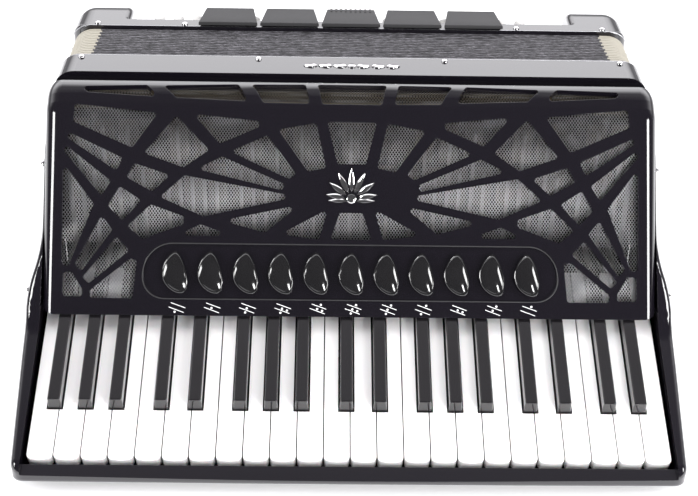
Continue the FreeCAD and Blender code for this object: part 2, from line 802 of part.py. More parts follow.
CROWN_WINDOWS = (
    ((-213, 9), (-207, 3.5), (-152, 0.5), (-161.5, 11.5)),
    ((-150, 11), (-137.5, 0), (-81.5, -2.1), (-90, 14)),
    ((-80, 14), (-69.5, -3), (-33, -3.4), (-37, 15)),
)
CROWN_MIDDLE = ((-27.5, 15), (-23.5, -3.7), (23.5, -3.7), (27.5, 15))


def mirrored(points):
    return tuple((-x, up) for x, up in reversed(points))


def both_sides(shapes):
    return tuple(shapes) + tuple(mirrored(shape) for shape in shapes)


def panel_outline():
    half = val("panel_length") / 2
    low = val("panel_low")
    high = low + val("panel_height")
    return [(-half, low), (half, low), (half - 6, high), (-half + 6, high)]


def switch_positions():
    first = -(val("switch_count") - 1) / 2
    return [(first + index) * val("switch_pitch") for index in range(int(val("switch_count")))]


def stem_height():
    return val("switch_low") + 17


# Hollow that lets the rear of the outer keys swing beside the grille's side walls.
KEY_ROOM_START = -75
KEY_ROOM_TOP = 96


def is_grille_side(centre, run):
    inner = abs(centre.x) > val("case_width") / 2 - 0.1
    return inner and centre.y < val("board_y") - 0.5 and centre.z > val("lip_z") + 1


def build_treble_grille():
    body = new_body("treble_grille")
    sketch = new_sketch(body, "YZ_Plane")
    add_section(sketch, 0)
    pad(body, sketch, size("case_width"), symmetric=True)
    round_edges(body, size("grille_corner"), is_grille_side)
    hollow = new_sketch(body, "YZ_Plane")
    add_section(hollow, val("grille_wall"), val("lip_z") - 12, 10)
    pocket(body, hollow, size("case_width") - size("grille_side") * 2, symmetric=True)
    key_room = new_sketch(body, "YZ_Plane")
    add_box_outline(key_room, KEY_ROOM_START, size("board_y"), size("lip_z") - 5, KEY_ROOM_TOP)
    pocket(body, key_room, size("case_width") - size("key_room_wall") * 2, symmetric=True)
    windows = new_sketch(body, "XY_Plane", face_frame(5))
    for shape in both_sides(SIDE_WINDOWS) + MIDDLE_WINDOWS:
        add_rounded_outline(windows, shape, val("window_corner"))
    pocket(body, windows, 14)
    crown = new_sketch(body, "XY_Plane", Placement(Vector(0, 0, val("case_height") + 2), Rotation()))
    for shape in both_sides(CROWN_WINDOWS) + (CROWN_MIDDLE,):
        add_rounded_outline(crown, shape, val("window_corner"))
    pocket(body, crown, 18)
    recess = new_sketch(body, "XY_Plane", face_frame(2))
    add_rounded_outline(recess, panel_outline(), 20)
    pocket(body, recess, size("panel_depth") + 2)
    stems = new_sketch(body, "XY_Plane", face_frame(2))
    for x in switch_positions():
        add_circle(stems, x, stem_height(), size("stem_radius") + size("stem_play"))
    pocket(body, stems, 12)


MESH_START = 5


def build_grille_mesh():
    """Perforated metal sheet just behind the windows, cut away behind the register panel."""
    body = new_body("grille_mesh")
    near = val("grille_wall") + val("mesh_gap")
    sketch = new_sketch(body, "YZ_Plane")
    add_section(sketch, near)
    width = size("case_width") - size("grille_side") * 2 - 2
    pad(body, sketch, width, symmetric=True)
    hollow = new_sketch(body, "YZ_Plane")
    add_section(hollow, near + val("mesh_thick"), val("lip_z") - 20, 12)
    pocket(body, hollow, width + 4, symmetric=True)
    opening = new_sketch(body, "XY_Plane", face_frame(2))
    side, panel = size("case_width") / 2, size("panel_length") / 2
    low, start, end = -20, MESH_START, size("panel_low") + size("panel_height")
    add_outline(opening, [(-side, low), (side, low), (side, start), (panel, start), (panel, end),
                          (-panel, end), (-panel, start), (-side, start)])
    pocket(body, opening, 14)


def leaf_edge(x, lift):
    """Closed curve of one register switch, narrow at the top and pointed at lower right."""
    low = val("switch_low")
    points = ((-0.4, 33), (4.6, 28), (8.4, 17), (9.2, 2.5), (7.5, 0.3), (1, 1.8), (-8.8, 9.5), (-10.4, 15),
              (-7.6, 24.5))
    curve = Part.BSplineCurve()
    curve.interpolate([Vector(x + a, low + b, lift) for a, b in points], True)
    return curve.toShape()


def build_treble_register_switches():
    """Eleven leaf-shaped switches in the frame of the grille's face."""
    solids = []
    bottom = val("switch_lift") - val("panel_depth")
    reach = val("grille_wall") + 2.5 + bottom
    for x in switch_positions():
        plate = Part.Face(Part.Wire([leaf_edge(x, bottom)])).extrude(Vector(0, 0, val("switch_thick")))
        crown = max(plate.Edges, key=lambda edge: edge.CenterOfMass.z)
        plate = plate.makeFillet(0.9, [crown])
        stem = Part.makeCylinder(val("stem_radius"), reach, Vector(x, stem_height(), bottom + 0.1),
                                 Vector(0, 0, -1))
        solids.append(plate.fuse(stem))
    solid_group("treble_register_switches", solids, face_frame())


# --- bellows --------------------------------------------------------------------------------

def build_bellows_section(order, start):
    """A ring of closed folds, each with sharp outer and inner creases."""
    body = new_body("bellows_section_%d" % order)
    inset = val("bellows_inset")
    half = val("case_width") / 2 - inset
    low, high = inset, val("case_height") - inset
    fold = (bellows_span() - val("section_gap")) / val("fold_count")
    crease = fold / 2 - 0.3
    ring = new_sketch(body, "XZ_Plane", Placement(Vector(0, 0, -start), Rotation()))
    add_rounded_outline(ring, [(-half, low), (half, low), (half, high), (-half, high)], 6)
    depth = val("bellows_wall")
    add_rounded_outline(ring, [(-half + depth, low + depth), (half - depth, low + depth),
                               (half - depth, high - depth), (-half + depth, high - depth)], 6)
    plate = pad(body, ring, fold, reverse=True)
    doc.recompute()
    rims = ["Edge%d" % index for index, edge in enumerate(plate.Shape.Edges, start=1)
            if abs(edge.BoundBox.YLength) < 0.01]
    bevel = body.newObject("PartDesign::Chamfer", body.Name + "_crease")
    bevel.Base = (plate, rims)
    bevel.Size = crease
    pattern = body.newObject("PartDesign::LinearPattern", body.Name + "_folds")
    pattern.Originals = [plate, bevel]
    pattern.Direction = (next(p for p in body.Origin.OriginFeatures if p.Role == "Y_Axis"), [""])
    pattern.Length = fold * (val("fold_count") - 1)
    pattern.Occurrences = int(val("fold_count"))
    body.Tip = pattern


def bellows_span():
    return (val("bass_y") - val("bellows_y")) / val("section_count")


def build_bellows():
    for order in range(1, int(val("section_count")) + 1):
        start = val("bellows_y") + (order - 1) * bellows_span() + val("section_gap") / 2
        build_bellows_section(order, start)


# --- bass section ---------------------------------------------------------------------------

def button_frame():
    """Frame on the sloping button board: X along the rows, Y down the slope, Z outward."""
    turn = Rotation(Vector(1, 0, 0), -val("recess_angle"))
    return Placement(Vector(0, val("recess_y"), val("case_height") - 6), turn)


def board_foot():
    """Where the button board meets the outer face of the bass case."""
    drop = (val("bass_end_y") - val("recess_y")) * math.tan(math.radians(val("recess_angle")))
    return val("case_height") - 6 - drop


def is_hump_shoulder(centre, run):
    beside_recess = abs(abs(centre.x) - val("recess_length") / 2) < 0.1
    outer_end = val("bass_end_y") - 0.5
    return beside_recess and centre.z > val("case_height") - val("bass_round") and centre.y < outer_end


def build_bass_case():
    body = new_body("bass_case")
    start, end, top = size("bass_y"), size("bass_end_y"), size("case_height")
    sketch = new_sketch(body, "YZ_Plane")
    low_y, high_y, high_z = number(start), number(end), number(top)
    add_rounded_outline(sketch, ((low_y, 0), (high_y, 0), (high_y, high_z), (low_y, high_z)),
                        (0.4, 3, val("bass_round"), 0.4))
    pad(body, sketch, size("case_width"), symmetric=True)
    round_edges(body, size("case_corner"), is_case_corner)
    step = new_sketch(body, "YZ_Plane")
    corner = size("recess_y")
    add_outline(step, [(corner, top + 5), (corner, top - 6), (end, board_foot()), (end + 5, board_foot()),
                       (end + 5, top + 5)])
    pocket(body, step, size("recess_length"), symmetric=True)
    round_edges(body, size("hump_round"), is_hump_shoulder)
    hollow = new_sketch(body, "YZ_Plane")
    wall = size("wall")
    slope_top = top - 6 - 9
    inner_end = end - wall
    add_outline(hollow, [(start - 1, wall), (inner_end, wall), (inner_end, board_foot() - 7),
                         (corner - 3, slope_top), (start - 1, slope_top)])
    pocket(body, hollow, size("case_width") - wall * 2, symmetric=True)
    holes = new_sketch(body, "XY_Plane", button_frame())
    for x, up in button_places():
        hole = Part.Circle(Vector(x, up, 0), Vector(0, 0, 1), val("button_radius") + 0.15)
        holes.addGeometry(hole, False)
    pocket(body, holes, 12)
    slots = new_sketch(body, "XY_Plane", Placement(Vector(0, 0, val("case_height") + 1), Rotation()))
    for x in tab_positions():
        add_circle(slots, x, tab_stem_y(), size("stem_radius") + size("stem_play"))
    pocket(body, slots, size("wall") + 12)
    bores = new_sketch(body, "XZ_Plane", Placement(Vector(0, 0, -val("bass_end_y") - 1), Rotation()))
    add_circle(bores, air_button_place().x, air_button_place().z, 3.1)
    add_circle(bores, wheel_place().x, wheel_place().z, 2.6)
    pocket(body, bores, size("wall") + 4, reverse=True)


def button_places():
    """X and distance down the slope of every bass button."""
    places = []
    columns, rows = int(val("button_columns")), int(val("button_rows"))
    for row in range(rows):
        shift = (row - (rows - 1) / 2) * val("row_shift")
        for column in range(columns):
            x = (column - (columns - 1) / 2) * val("column_pitch") + shift
            places.append((x, val("row_first") + row * val("row_pitch")))
    return places


def build_bass_buttons():
    radius, height = val("button_radius"), val("button_height")
    solids = []
    for x, up in button_places():
        stem = Part.makeCylinder(radius, height + 12, Vector(x, up, -12))
        rim = [edge for edge in stem.Edges if edge.CenterOfMass.z > height - 0.01]
        solids.append(stem.makeFillet(1.4, rim[:1]))
    solid_group("bass_buttons", solids, button_frame())


def tab_positions():
    middle = (val("tab_count") - 1) / 2
    return [(index - middle) * val("tab_pitch") for index in range(int(val("tab_count")))]


def tab_stem_y():
    return val("bass_y") + 6.5


def build_bass_register_switches():
    """Five trapezoid tabs over the front of the bass case, each on its own stem."""
    solids = []
    near = val("bass_y") - 0.7
    far = near + val("tab_length")
    low = val("case_height") + val("tab_lift")
    for x in tab_positions():
        base, top = val("tab_base") / 2, val("tab_top") / 2
        corners = [Vector(x - base, near, low), Vector(x + base, near, low), Vector(x + top, far, low),
                   Vector(x - top, far, low)]
        plate = Part.Face(Part.makePolygon(corners + corners[:1])).extrude(Vector(0, 0, val("tab_thick")))
        top_edges = [edge for edge in plate.Edges if edge.BoundBox.ZMin > low + val("tab_thick") - 0.01]
        plate = plate.makeFillet(1.0, top_edges)
        stem = Part.makeCylinder(val("stem_radius"), val("tab_lift") + val("wall") + 4,
                                 Vector(x, tab_stem_y(), low + 0.5), Vector(0, 0, -1))
        solids.append(plate.fuse(stem))
    solid_group("bass_register_switches", solids)


BASS_BLOCK = (16, 40, 380)
BASS_PLATES = (12, 1.8)
BASS_BLOCK_HEIGHTS = (24, 52, 80)


def build_bass_reed_blocks():
    """Three blocks in the foot of the bass case, with reed plates along both sides."""
    low_y = val("bass_y") + 12
    lying_reed_blocks("bass_reed_blocks", BASS_BLOCK, BASS_PLATES, low_y, BASS_BLOCK_HEIGHTS)


def air_button_place():
    return Vector(-218, val("bass_end_y"), 128)


def build_air_button():
    """Round button with a stem through the end wall and a felted valve inside."""
    place = air_button_place()
    head = Part.makeCylinder(7, 5, place + Vector(0, 4.5, 0), Vector(0, 1, 0))
    rim = [edge for edge in head.Edges if edge.CenterOfMass.y > place.y + 9.4]
    head = head.makeFillet(1.5, rim[:1])
    stem = Part.makeCylinder(3, val("wall") + 12, place + Vector(0, 5, 0), Vector(0, -1, 0))
    solid_group("air_button", [head.fuse(stem)])


def strap_z():
    return val("strap_low") + val("strap_width") / 2


def build_bass_strap():
    """Bowed hand strap along the bass end, lying free of the case between its ends."""
    half = val("strap_span") / 2
    near = val("bass_end_y") + 1.2
    bow = val("strap_reach")
    thick = val("strap_thick")
    outer = Part.Arc(Vector(half, near + thick, 0), Vector(0, near + bow + thick, 0),
                     Vector(-half, near + thick, 0)).toShape()
    inner = Part.Arc(Vector(-half, near, 0), Vector(0, near + bow, 0), Vector(half, near, 0)).toShape()
    ends = [Part.makeLine(Vector(-half, near + thick, 0), Vector(-half, near, 0)),
            Part.makeLine(Vector(half, near, 0), Vector(half, near + thick, 0))]
    outline = Part.Wire([outer, ends[0], inner, ends[1]])
    strap = Part.Face(outline).extrude(Vector(0, 0, val("strap_width")))
    feature = doc.addObject("Part::Feature", "bass_strap")
    feature.Label = "bass_strap"
    feature.Shape = strap
    feature.Placement = Placement(Vector(0, 0, val("strap_low")), Rotation())


def wheel_place():
    return Vector(val("strap_span") / 2 + 19, val("bass_end_y"), strap_z())


WHEEL_NOTCHES = 24


def build_strap_wheel():
    """Knurled thumbwheel that tightens the hand strap, on a pin in the end wall."""
    place = wheel_place()
    radius, thick = val("wheel_radius"), val("wheel_thick")
    wheel = Part.makeCylinder(radius, thick, place + Vector(0, 1, 0), Vector(0, 1, 0))
    notches = []
    for index in range(WHEEL_NOTCHES):
        angle = 2 * math.pi * index / WHEEL_NOTCHES
        centre = place + Vector(math.cos(angle), 0, math.sin(angle)) * (radius + 0.5)
        notches.append(Part.makeCylinder(1.0, thick + 2, centre, Vector(0, 1, 0)))
    wheel = wheel.cut(Part.makeCompound(notches))
    pin = Part.makeCylinder(2.5, val("wall") + 1, place + Vector(0, 2, 0), Vector(0, -1, 0))
    solid_group("strap_wheel", [wheel.fuse(pin)])


def domed_head(radius, height, place, direction):
    head = Part.makeCylinder(radius, height, place, direction)
    top = place + direction * height
    rim = [edge for edge in head.Edges if (edge.CenterOfMass - top).Length < 0.01]
    return head.makeFillet(height * 0.7, rim[:1])


PIN_PLACES = (-220, -76, 76, 220)
BASS_PIN_PLACES = (-216, -142, 142, 216)
PIN_RADIUS = 2.6
PIN_HEAD = 1.6
BASS_PIN_INSET = 4
FOOT_X = 216
FOOT_HEIGHTS = (14, 176)
FOOT_RADIUS = 7
FOOT_HEIGHT = 6
STUDS = ((-14, 163, 4.5, 4.0), (-80, 88, 2.4, 1.6))
SKIN = 0.02


def build_treble_hardware():
    """Bellows pins on the treble band and the studs on the keyboard cheeks."""
    up = Vector(0, 0, 1)
    solids = [domed_head(PIN_RADIUS, PIN_HEAD, Vector(x, val("bellows_y") - 6, val("case_height") + SKIN), up)
              for x in PIN_PLACES]
    for y, z, radius, height in STUDS:
        outer = cheek_surface(z - radius) + SKIN
        solids.append(domed_head(radius, height, Vector(outer, y, z), Vector(1, 0, 0)))
        solids.append(domed_head(radius, height, Vector(-outer, y, z), Vector(-1, 0, 0)))
    solid_group("treble_hardware", solids)


def build_bass_hardware():
    """Bellows pins, strap end plates and the feet the instrument stands on."""
    up = Vector(0, 0, 1)
    out = Vector(0, 1, 0)
    solids = [domed_head(PIN_RADIUS, PIN_HEAD, Vector(x, val("bass_y") + BASS_PIN_INSET, val("case_height") + SKIN), up)
              for x in BASS_PIN_PLACES]
    end = val("bass_end_y") + SKIN
    for x in (-FOOT_X, FOOT_X):
        for z in FOOT_HEIGHTS:
            solids.append(domed_head(FOOT_RADIUS, FOOT_HEIGHT, Vector(x, end, z), out))
    for side in (-1, 1):
        plate = Part.makeBox(4, 9, val("strap_width") - 8)
        plate.Placement = Placement(Vector(side * (val("strap_span") / 2 + 3) - 2, end, val("strap_low") + 4),
                                    Rotation())
        solids.append(plate)
    solid_group("bass_hardware", solids)


BUILDERS = (build_keys, build_key_axle, build_keyboard_frame, build_key_springs, build_treble_case,
            build_treble_reed_blocks, build_treble_grille, build_grille_mesh,
            build_treble_register_switches, build_treble_hardware, build_bellows, build_bass_case,
            build_bass_buttons, build_bass_register_switches, build_bass_reed_blocks,
            build_air_button, build_bass_strap, build_strap_wheel, build_bass_hardware)


def check_document():
    doc.recompute()
    for item in doc.Objects:
        if "Invalid" in item.State or "Error" in item.State:
            raise RuntimeError("%s failed: %s" % (item.Name, item.State))


def sub_parts():
    kinds = ("PartDesign::Body", "Part::Feature")
    return [item for item in doc.Objects if item.TypeId in kinds]


def write_parts():
    parts = sub_parts()
    for item in parts:
        if item.Shape.isNull() or not item.Shape.isValid():
            raise RuntimeError("%s has no valid shape" % item.Label)
    os.makedirs("parts", exist_ok=True)
    for item in parts:
        item.Shape.exportStep("parts/%s.step" % item.Label)


for build in BUILDERS:
    build()
check_document()
write_parts()
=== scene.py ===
import json
import math

import bmesh
import bpy
from mathutils import Matrix, Vector


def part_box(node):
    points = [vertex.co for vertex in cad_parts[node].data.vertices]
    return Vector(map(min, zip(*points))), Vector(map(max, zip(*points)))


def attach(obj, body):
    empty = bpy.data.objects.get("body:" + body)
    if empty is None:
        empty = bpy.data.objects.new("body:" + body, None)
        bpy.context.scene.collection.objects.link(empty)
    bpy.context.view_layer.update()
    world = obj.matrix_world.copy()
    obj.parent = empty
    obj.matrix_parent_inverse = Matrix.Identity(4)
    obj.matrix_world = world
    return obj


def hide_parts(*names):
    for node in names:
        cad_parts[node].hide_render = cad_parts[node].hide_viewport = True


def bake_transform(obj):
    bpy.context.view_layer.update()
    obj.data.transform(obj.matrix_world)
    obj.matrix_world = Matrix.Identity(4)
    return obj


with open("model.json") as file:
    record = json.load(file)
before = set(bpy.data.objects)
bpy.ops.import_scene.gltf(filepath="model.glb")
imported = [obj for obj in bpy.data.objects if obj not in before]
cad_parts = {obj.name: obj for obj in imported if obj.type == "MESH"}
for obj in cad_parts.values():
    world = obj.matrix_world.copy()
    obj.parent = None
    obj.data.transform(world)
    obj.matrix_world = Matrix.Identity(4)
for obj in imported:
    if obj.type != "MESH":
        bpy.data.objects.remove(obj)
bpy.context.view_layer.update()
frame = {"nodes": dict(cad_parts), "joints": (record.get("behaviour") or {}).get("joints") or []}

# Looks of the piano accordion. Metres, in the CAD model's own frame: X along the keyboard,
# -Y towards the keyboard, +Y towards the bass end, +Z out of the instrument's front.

MM = 0.001
NODES = frame["nodes"]
JOINTS = {joint["name"]: joint for joint in frame["joints"]}
KEYS = sorted(name for name in NODES if name.startswith("key_") and name[4:6].isdigit())
BLACK_KEYS = [name for name in KEYS if "sharp" in name]
WHITE_KEYS = [name for name in KEYS if "sharp" not in name]


# --- shader helpers -------------------------------------------------------------------------

def new_shader(name):
    """A node material, its tree and its main shader."""
    material = bpy.data.materials.new(name)
    material.use_nodes = True
    tree = material.node_tree
    return material, tree, tree.nodes["Principled BSDF"]


def add(tree, kind, inputs=None, **settings):
    """A shader node with its settings; inputs are plain values or sockets to link."""
    made = tree.nodes.new("ShaderNode" + kind)
    for name, value in settings.items():
        setattr(made, name, value)
    for name, value in (inputs or {}).items():
        feed(tree, made.inputs[name], value)
    return made


def feed(tree, socket, value):
    """Link a socket's source, or set its plain value."""
    if isinstance(value, bpy.types.NodeSocket):
        tree.links.new(value, socket)
    else:
        socket.default_value = value


def set_inputs(tree, shader, values):
    for name, value in values.items():
        feed(tree, shader.inputs[name], value)


def place(tree, stretch=(1, 1, 1), source="Object"):
    """Position on the piece at rest, stretched to turn round spots into streaks."""
    coordinates = add(tree, "TexCoord").outputs[source]
    return add(tree, "Mapping", {"Vector": coordinates, "Scale": stretch}).outputs["Vector"]


def noise(tree, vector, scale, detail=3.0, rough=0.5):
    inputs = {"Vector": vector, "Scale": scale, "Detail": detail, "Roughness": rough}
    return add(tree, "TexNoise", inputs).outputs["Fac"]


def span(tree, value, low, high, start=0.0, end=1.0):
    """Value mapped from start..end to low..high."""
    inputs = {"Value": value, "From Min": start, "From Max": end, "To Min": low, "To Max": high}
    return add(tree, "MapRange", inputs).outputs["Result"]


def mix(tree, factor, first, second):
    made = add(tree, "Mix", data_type="RGBA")
    feed(tree, made.inputs["Factor"], factor)
    feed(tree, made.inputs[6], first)
    feed(tree, made.inputs[7], second)
    return made.outputs[2]


def maths(tree, operation, first, second=0.0):
    made = add(tree, "Math", operation=operation)
    feed(tree, made.inputs[0], first)
    feed(tree, made.inputs[1], second)
    return made.outputs["Value"]


def bump(tree, height, strength, distance, normal=None):
    inputs = {"Height": height, "Strength": strength, "Distance": distance}
    if normal is not None:
        inputs["Normal"] = normal
    return add(tree, "Bump", inputs).outputs["Normal"]


def grey(level, tint=(1.0, 1.0, 1.0)):
    return (level * tint[0], level * tint[1], level * tint[2], 1.0)


# --- materials ------------------------------------------------------------------------------

def lacquer():
    """Polished black celluloid: a deep coat with a faint ripple and rubbed spots."""
    material, tree, shader = new_shader("black_lacquer")
    where = place(tree)
    ripple = noise(tree, where, 55, 2)
    haze = span(tree, noise(tree, where, 14, 4), 0.035, 0.10, 0.35, 0.7)
    soft = add(tree, "Bevel", {"Radius": 0.5 * MM}, samples=4).outputs["Normal"]
    colour = mix(tree, noise(tree, where, 5), (0.0050, 0.0042, 0.0066, 1), (0.0078, 0.0066, 0.0098, 1))
    set_inputs(tree, shader, {
        "Base Color": colour, "Roughness": haze, "IOR": 1.52, "Coat Weight": 0.6,
        "Coat Roughness": 0.02, "Normal": bump(tree, ripple, 0.06, 0.4 * MM, soft)})
    return material


def key_ivory():
    """Cream-white key plastic with a faint cloudiness and finger-polished gloss."""
    material, tree, shader = new_shader("white_key_plastic")
    where = place(tree)
    cloud = noise(tree, where, 40, 4)
    colour = mix(tree, cloud, (0.83, 0.82, 0.82, 1), (0.90, 0.885, 0.88, 1))
    set_inputs(tree, shader, {
        "Base Color": colour, "Roughness": span(tree, noise(tree, where, 22), 0.10, 0.24),
        "Coat Weight": 0.3, "Coat Roughness": 0.06, "Subsurface Weight": 0.08,
        "Subsurface Scale": 0.8 * MM, "Normal": bump(tree, noise(tree, where, 420, 2), 0.02, 0.1 * MM)})
    return material


def key_ebony():
    """Polished black key plastic with soft edges and faint lengthwise rubbing."""
    material, tree, shader = new_shader("black_key_plastic")
    grain = noise(tree, place(tree, (1, 0.06, 0.06)), 1400, 3)
    soft = add(tree, "Bevel", {"Radius": 0.9 * MM}, samples=4).outputs["Normal"]
    colour = mix(tree, noise(tree, place(tree), 30), (0.009, 0.008, 0.009, 1), (0.014, 0.013, 0.015, 1))
    set_inputs(tree, shader, {
        "Base Color": colour, "Roughness": span(tree, grain, 0.08, 0.18), "Coat Weight": 0.8,
        "Coat Roughness": 0.05, "Normal": bump(tree, grain, 0.04, 0.03 * MM, soft)})
    return material


def satin_plastic(name, low, high, rough, tint=(1, 1, 1), coat=0.0):
    """Moulded plastic with a fine eggshell grain."""
    material, tree, shader = new_shader(name)
    where = place(tree)
    grain = noise(tree, where, 1800, 2)
    colour = mix(tree, noise(tree, where, 60, 4), grey(low, tint), grey(high, tint))
    set_inputs(tree, shader, {
        "Base Color": colour, "Roughness": span(tree, grain, rough * 0.85, rough * 1.15),
        "Coat Weight": coat, "Coat Roughness": 0.05,
        "Normal": bump(tree, grain, 0.10, 0.04 * MM)})
    return material


def pearl():
    """Pearl-white button plastic with soft clouds."""
    material, tree, shader = new_shader("pearl_plastic")
    where = place(tree)
    swirl = noise(tree, where, 160, 5, 0.65)
    colour = mix(tree, swirl, (0.62, 0.61, 0.60, 1), (0.86, 0.85, 0.83, 1))
    set_inputs(tree, shader, {"Base Color": colour, "Roughness": 0.16, "Coat Weight": 0.5})
    return material


def bright_metal(name, colour, rough, stretch=(1, 1, 1), grain_scale=900):
    """Plated or drawn metal with hairline marks and faint tarnish."""
    material, tree, shader = new_shader(name)
    hairs = noise(tree, place(tree, stretch), grain_scale, 3)
    stain = noise(tree, place(tree), 70, 4)
    dark = tuple(0.72 * part for part in colour) + (1,)
    set_inputs(tree, shader, {
        "Base Color": mix(tree, stain, dark, tuple(colour) + (1,)), "Metallic": 1.0,
        "Roughness": span(tree, hairs, rough * 0.7, rough * 1.4),
        "Normal": bump(tree, hairs, 0.06, 0.03 * MM)})
    return material


def wood():
    """Spruce with growth lines along the keyboard, its colour darkened as painted shade of the case's
    dim inside.
    """
    material, tree, shader = new_shader("shade_darkened_spruce")
    rings = noise(tree, place(tree, (0.05, 1, 1)), 420, 5, 0.6)
    pores = noise(tree, place(tree, (0.04, 1, 1)), 2600, 2)
    # These dark tones are painted shade: the case's inside is darkened in the wood's own colour.
    colour = mix(tree, rings, (0.045, 0.038, 0.034, 1), (0.11, 0.095, 0.08, 1))
    set_inputs(tree, shader, {
        "Base Color": colour, "Roughness": 0.55, "Normal": bump(tree, pores, 0.2, 0.1 * MM)})
    return material


def felt(name, low, high):
    """Matted wool felt."""
    material, tree, shader = new_shader(name)
    fibres = noise(tree, place(tree), 1500, 6, 0.75)
    set_inputs(tree, shader, {
        "Base Color": mix(tree, fibres, low + (1,), high + (1,)), "Roughness": 0.95,
        "Sheen Weight": 0.4, "Normal": bump(tree, fibres, 0.6, 0.3 * MM)})
    return material


def bellows_cloth():
    """Charcoal book cloth whose threads run along the folds in broken light streaks."""
    material, tree, shader = new_shader("bellows_cloth")
    long_threads = noise(tree, place(tree, (0.34, 1, 0), "UV"), 950, 4, 0.7)
    slubs = noise(tree, place(tree, (0.24, 1, 0), "UV"), 480, 3, 0.6)
    flecks = span(tree, slubs, 0, 1, 0.40, 0.62)
    streak = maths(tree, "MULTIPLY", flecks, span(tree, long_threads, 0, 1, 0.38, 0.66))
    colour = mix(tree, streak, (0.012, 0.011, 0.014, 1), (0.22, 0.21, 0.235, 1))
    set_inputs(tree, shader, {
        "Base Color": colour, "Roughness": 0.55, "Sheen Weight": 0.25, "Sheen Roughness": 0.4,
        "Normal": bump(tree, long_threads, 0.5, 0.25 * MM)})
    return material


def corner_leather():
    """Cream gusset leather at the bellows corners, creased along the folds."""
    material, tree, shader = new_shader("cream_leather")
    creases = noise(tree, place(tree, (0.15, 1, 0), "UV"), 500, 4, 0.6)
    pores = noise(tree, place(tree), 1600, 3)
    colour = mix(tree, creases, (0.31, 0.29, 0.24, 1), (0.46, 0.43, 0.36, 1))
    set_inputs(tree, shader, {
        "Base Color": colour, "Roughness": 0.42, "Coat Weight": 0.15,
        "Normal": bump(tree, maths(tree, "ADD", creases, pores), 0.25, 0.1 * MM)})
    return material


def strap_leather():
    """Soft black leather with a pebbled grain and rubbed highlights."""
    material, tree, shader = new_shader("strap_leather")
    where = place(tree)
    cells = add(tree, "TexVoronoi", {"Vector": where, "Scale": 900}, feature="SMOOTH_F1")
    pebble = cells.outputs["Distance"]
    wear = noise(tree, where, 28, 5)
    colour = mix(tree, wear, (0.010, 0.009, 0.009, 1), (0.028, 0.026, 0.025, 1))
    set_inputs(tree, shader, {
        "Base Color": colour, "Roughness": span(tree, wear, 0.38, 0.6),
        "Normal": bump(tree, pebble, 0.45, 0.2 * MM)})
    return material


def build_materials():
    return {
        "lacquer": lacquer(),
        "ivory": key_ivory(),
        "ebony": key_ebony(),
        "leaf": satin_plastic("black_switch_plastic", 0.008, 0.012, 0.10, (1, 0.97, 1.05), 0.6),
        "tab": satin_plastic("grey_tab_plastic", 0.022, 0.032, 0.52, (1, 0.98, 1.05)),
        "pearl": pearl(),
        "paint": satin_plastic("white_inlay", 0.82, 0.90, 0.35),
        "chrome": bright_metal("chrome", (0.83, 0.82, 0.83), 0.10),
        "steel": bright_metal("drawn_steel", (0.52, 0.52, 0.54), 0.28),
        # Darker than bare aluminium: painted shade of the levers inside the case.
        "shade_darkened_aluminium": bright_metal("shade_darkened_aluminium", (0.42, 0.42, 0.44), 0.30, (1, 1, 0.05)),
        "wire": bright_metal("mesh_metal", (0.80, 0.79, 0.82), 0.38),
        "gauze": bright_metal("crown_gauze", (0.26, 0.235, 0.20), 0.45),
        "brass": bright_metal("brass", (0.72, 0.55, 0.22), 0.30, (0.05, 1, 1)),
        "zinc": bright_metal("reed_plate", (0.55, 0.56, 0.58), 0.38, (0.1, 1, 1)),
        "wood": wood(),
        "felt": felt("grey_felt", (0.10, 0.10, 0.11), (0.22, 0.22, 0.23)),
        "cloth": bellows_cloth(),
        "cream": corner_leather(),
        "strap": strap_leather(),
        "thread": felt("black_thread", (0.03, 0.03, 0.03), (0.09, 0.09, 0.09)),
    }


LOOK = build_materials()


# --- mesh helpers ---------------------------------------------------------------------------

def finish_piece(name, mesh, looks, body=None, smooth=40):
    """An object from a bmesh, with its materials, its sharp edges and the body it rides on."""
    data = bpy.data.meshes.new(name)
    bmesh.ops.recalc_face_normals(mesh, faces=mesh.faces)
    mesh.to_mesh(data)
    mesh.free()
    for look in looks:
        data.materials.append(LOOK[look])
    data.shade_smooth()
    data.set_sharp_from_angle(angle=math.radians(smooth))
    piece = bpy.data.objects.new(name, data)
    bpy.context.scene.collection.objects.link(piece)
    if body is not None:
        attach(piece, body)
    return piece


def loft(mesh, rings, closed_ring=True, closed_path=False, caps=True):
    """Skin over rings of equally many points."""
    layers = [[mesh.verts.new(point) for point in ring] for ring in rings]
    pairs = list(zip(layers, layers[1:]))
    if closed_path:
        pairs.append((layers[-1], layers[0]))
    faces = []
    for low, high in pairs:
        count = len(low)
        for index in range(count if closed_ring else count - 1):
            after = (index + 1) % count
            faces.append(mesh.faces.new((low[index], low[after], high[after], high[index])))
    if caps and closed_ring and not closed_path:
        mesh.faces.new(reversed(layers[0]))
        mesh.faces.new(layers[-1])
    return faces


SQUARE_BAR = ((-1, -1), (1, -1), (1, 1), (-1, 1))
ROUND_WIRE = ((-1, 0), (0, -1), (1, 0), (0, 1))


def bar(mesh, start, end, side, up, width, height, section=SQUARE_BAR):
    """Straight bar between two points; side and up are unit directions across it."""
    rings = []
    for point in (start, end):
        rings.append([point + side * (width / 2 * a) + up * (height / 2 * b) for a, b in section])
    loft(mesh, rings)


def face_frame():
    """Frame on the grille's sloping face: X along the keyboard, Y up the face, Z outward."""
    inward = Vector(JOINTS["treble_registers_press"]["axis"]).normalized()
    outward = -inward
    along = Vector((1, 0, 0))
    upward = outward.cross(along)
    lip = min((vertex.co for vertex in NODES["treble_grille"].data.vertices), key=lambda co: co.y)
    frame_matrix = Matrix((along, upward, outward)).transposed().to_4x4()
    frame_matrix.translation = Vector((0, lip.y, lip.z))
    return frame_matrix


FACE = face_frame()


def on_face(x, up, lift=0.0):
    """A point on the grille's face, in millimetres along, up and out of it."""
    return FACE @ Vector((x * MM, up * MM, lift * MM))


# --- carried-over CAD nodes -------------------------------------------------------------------

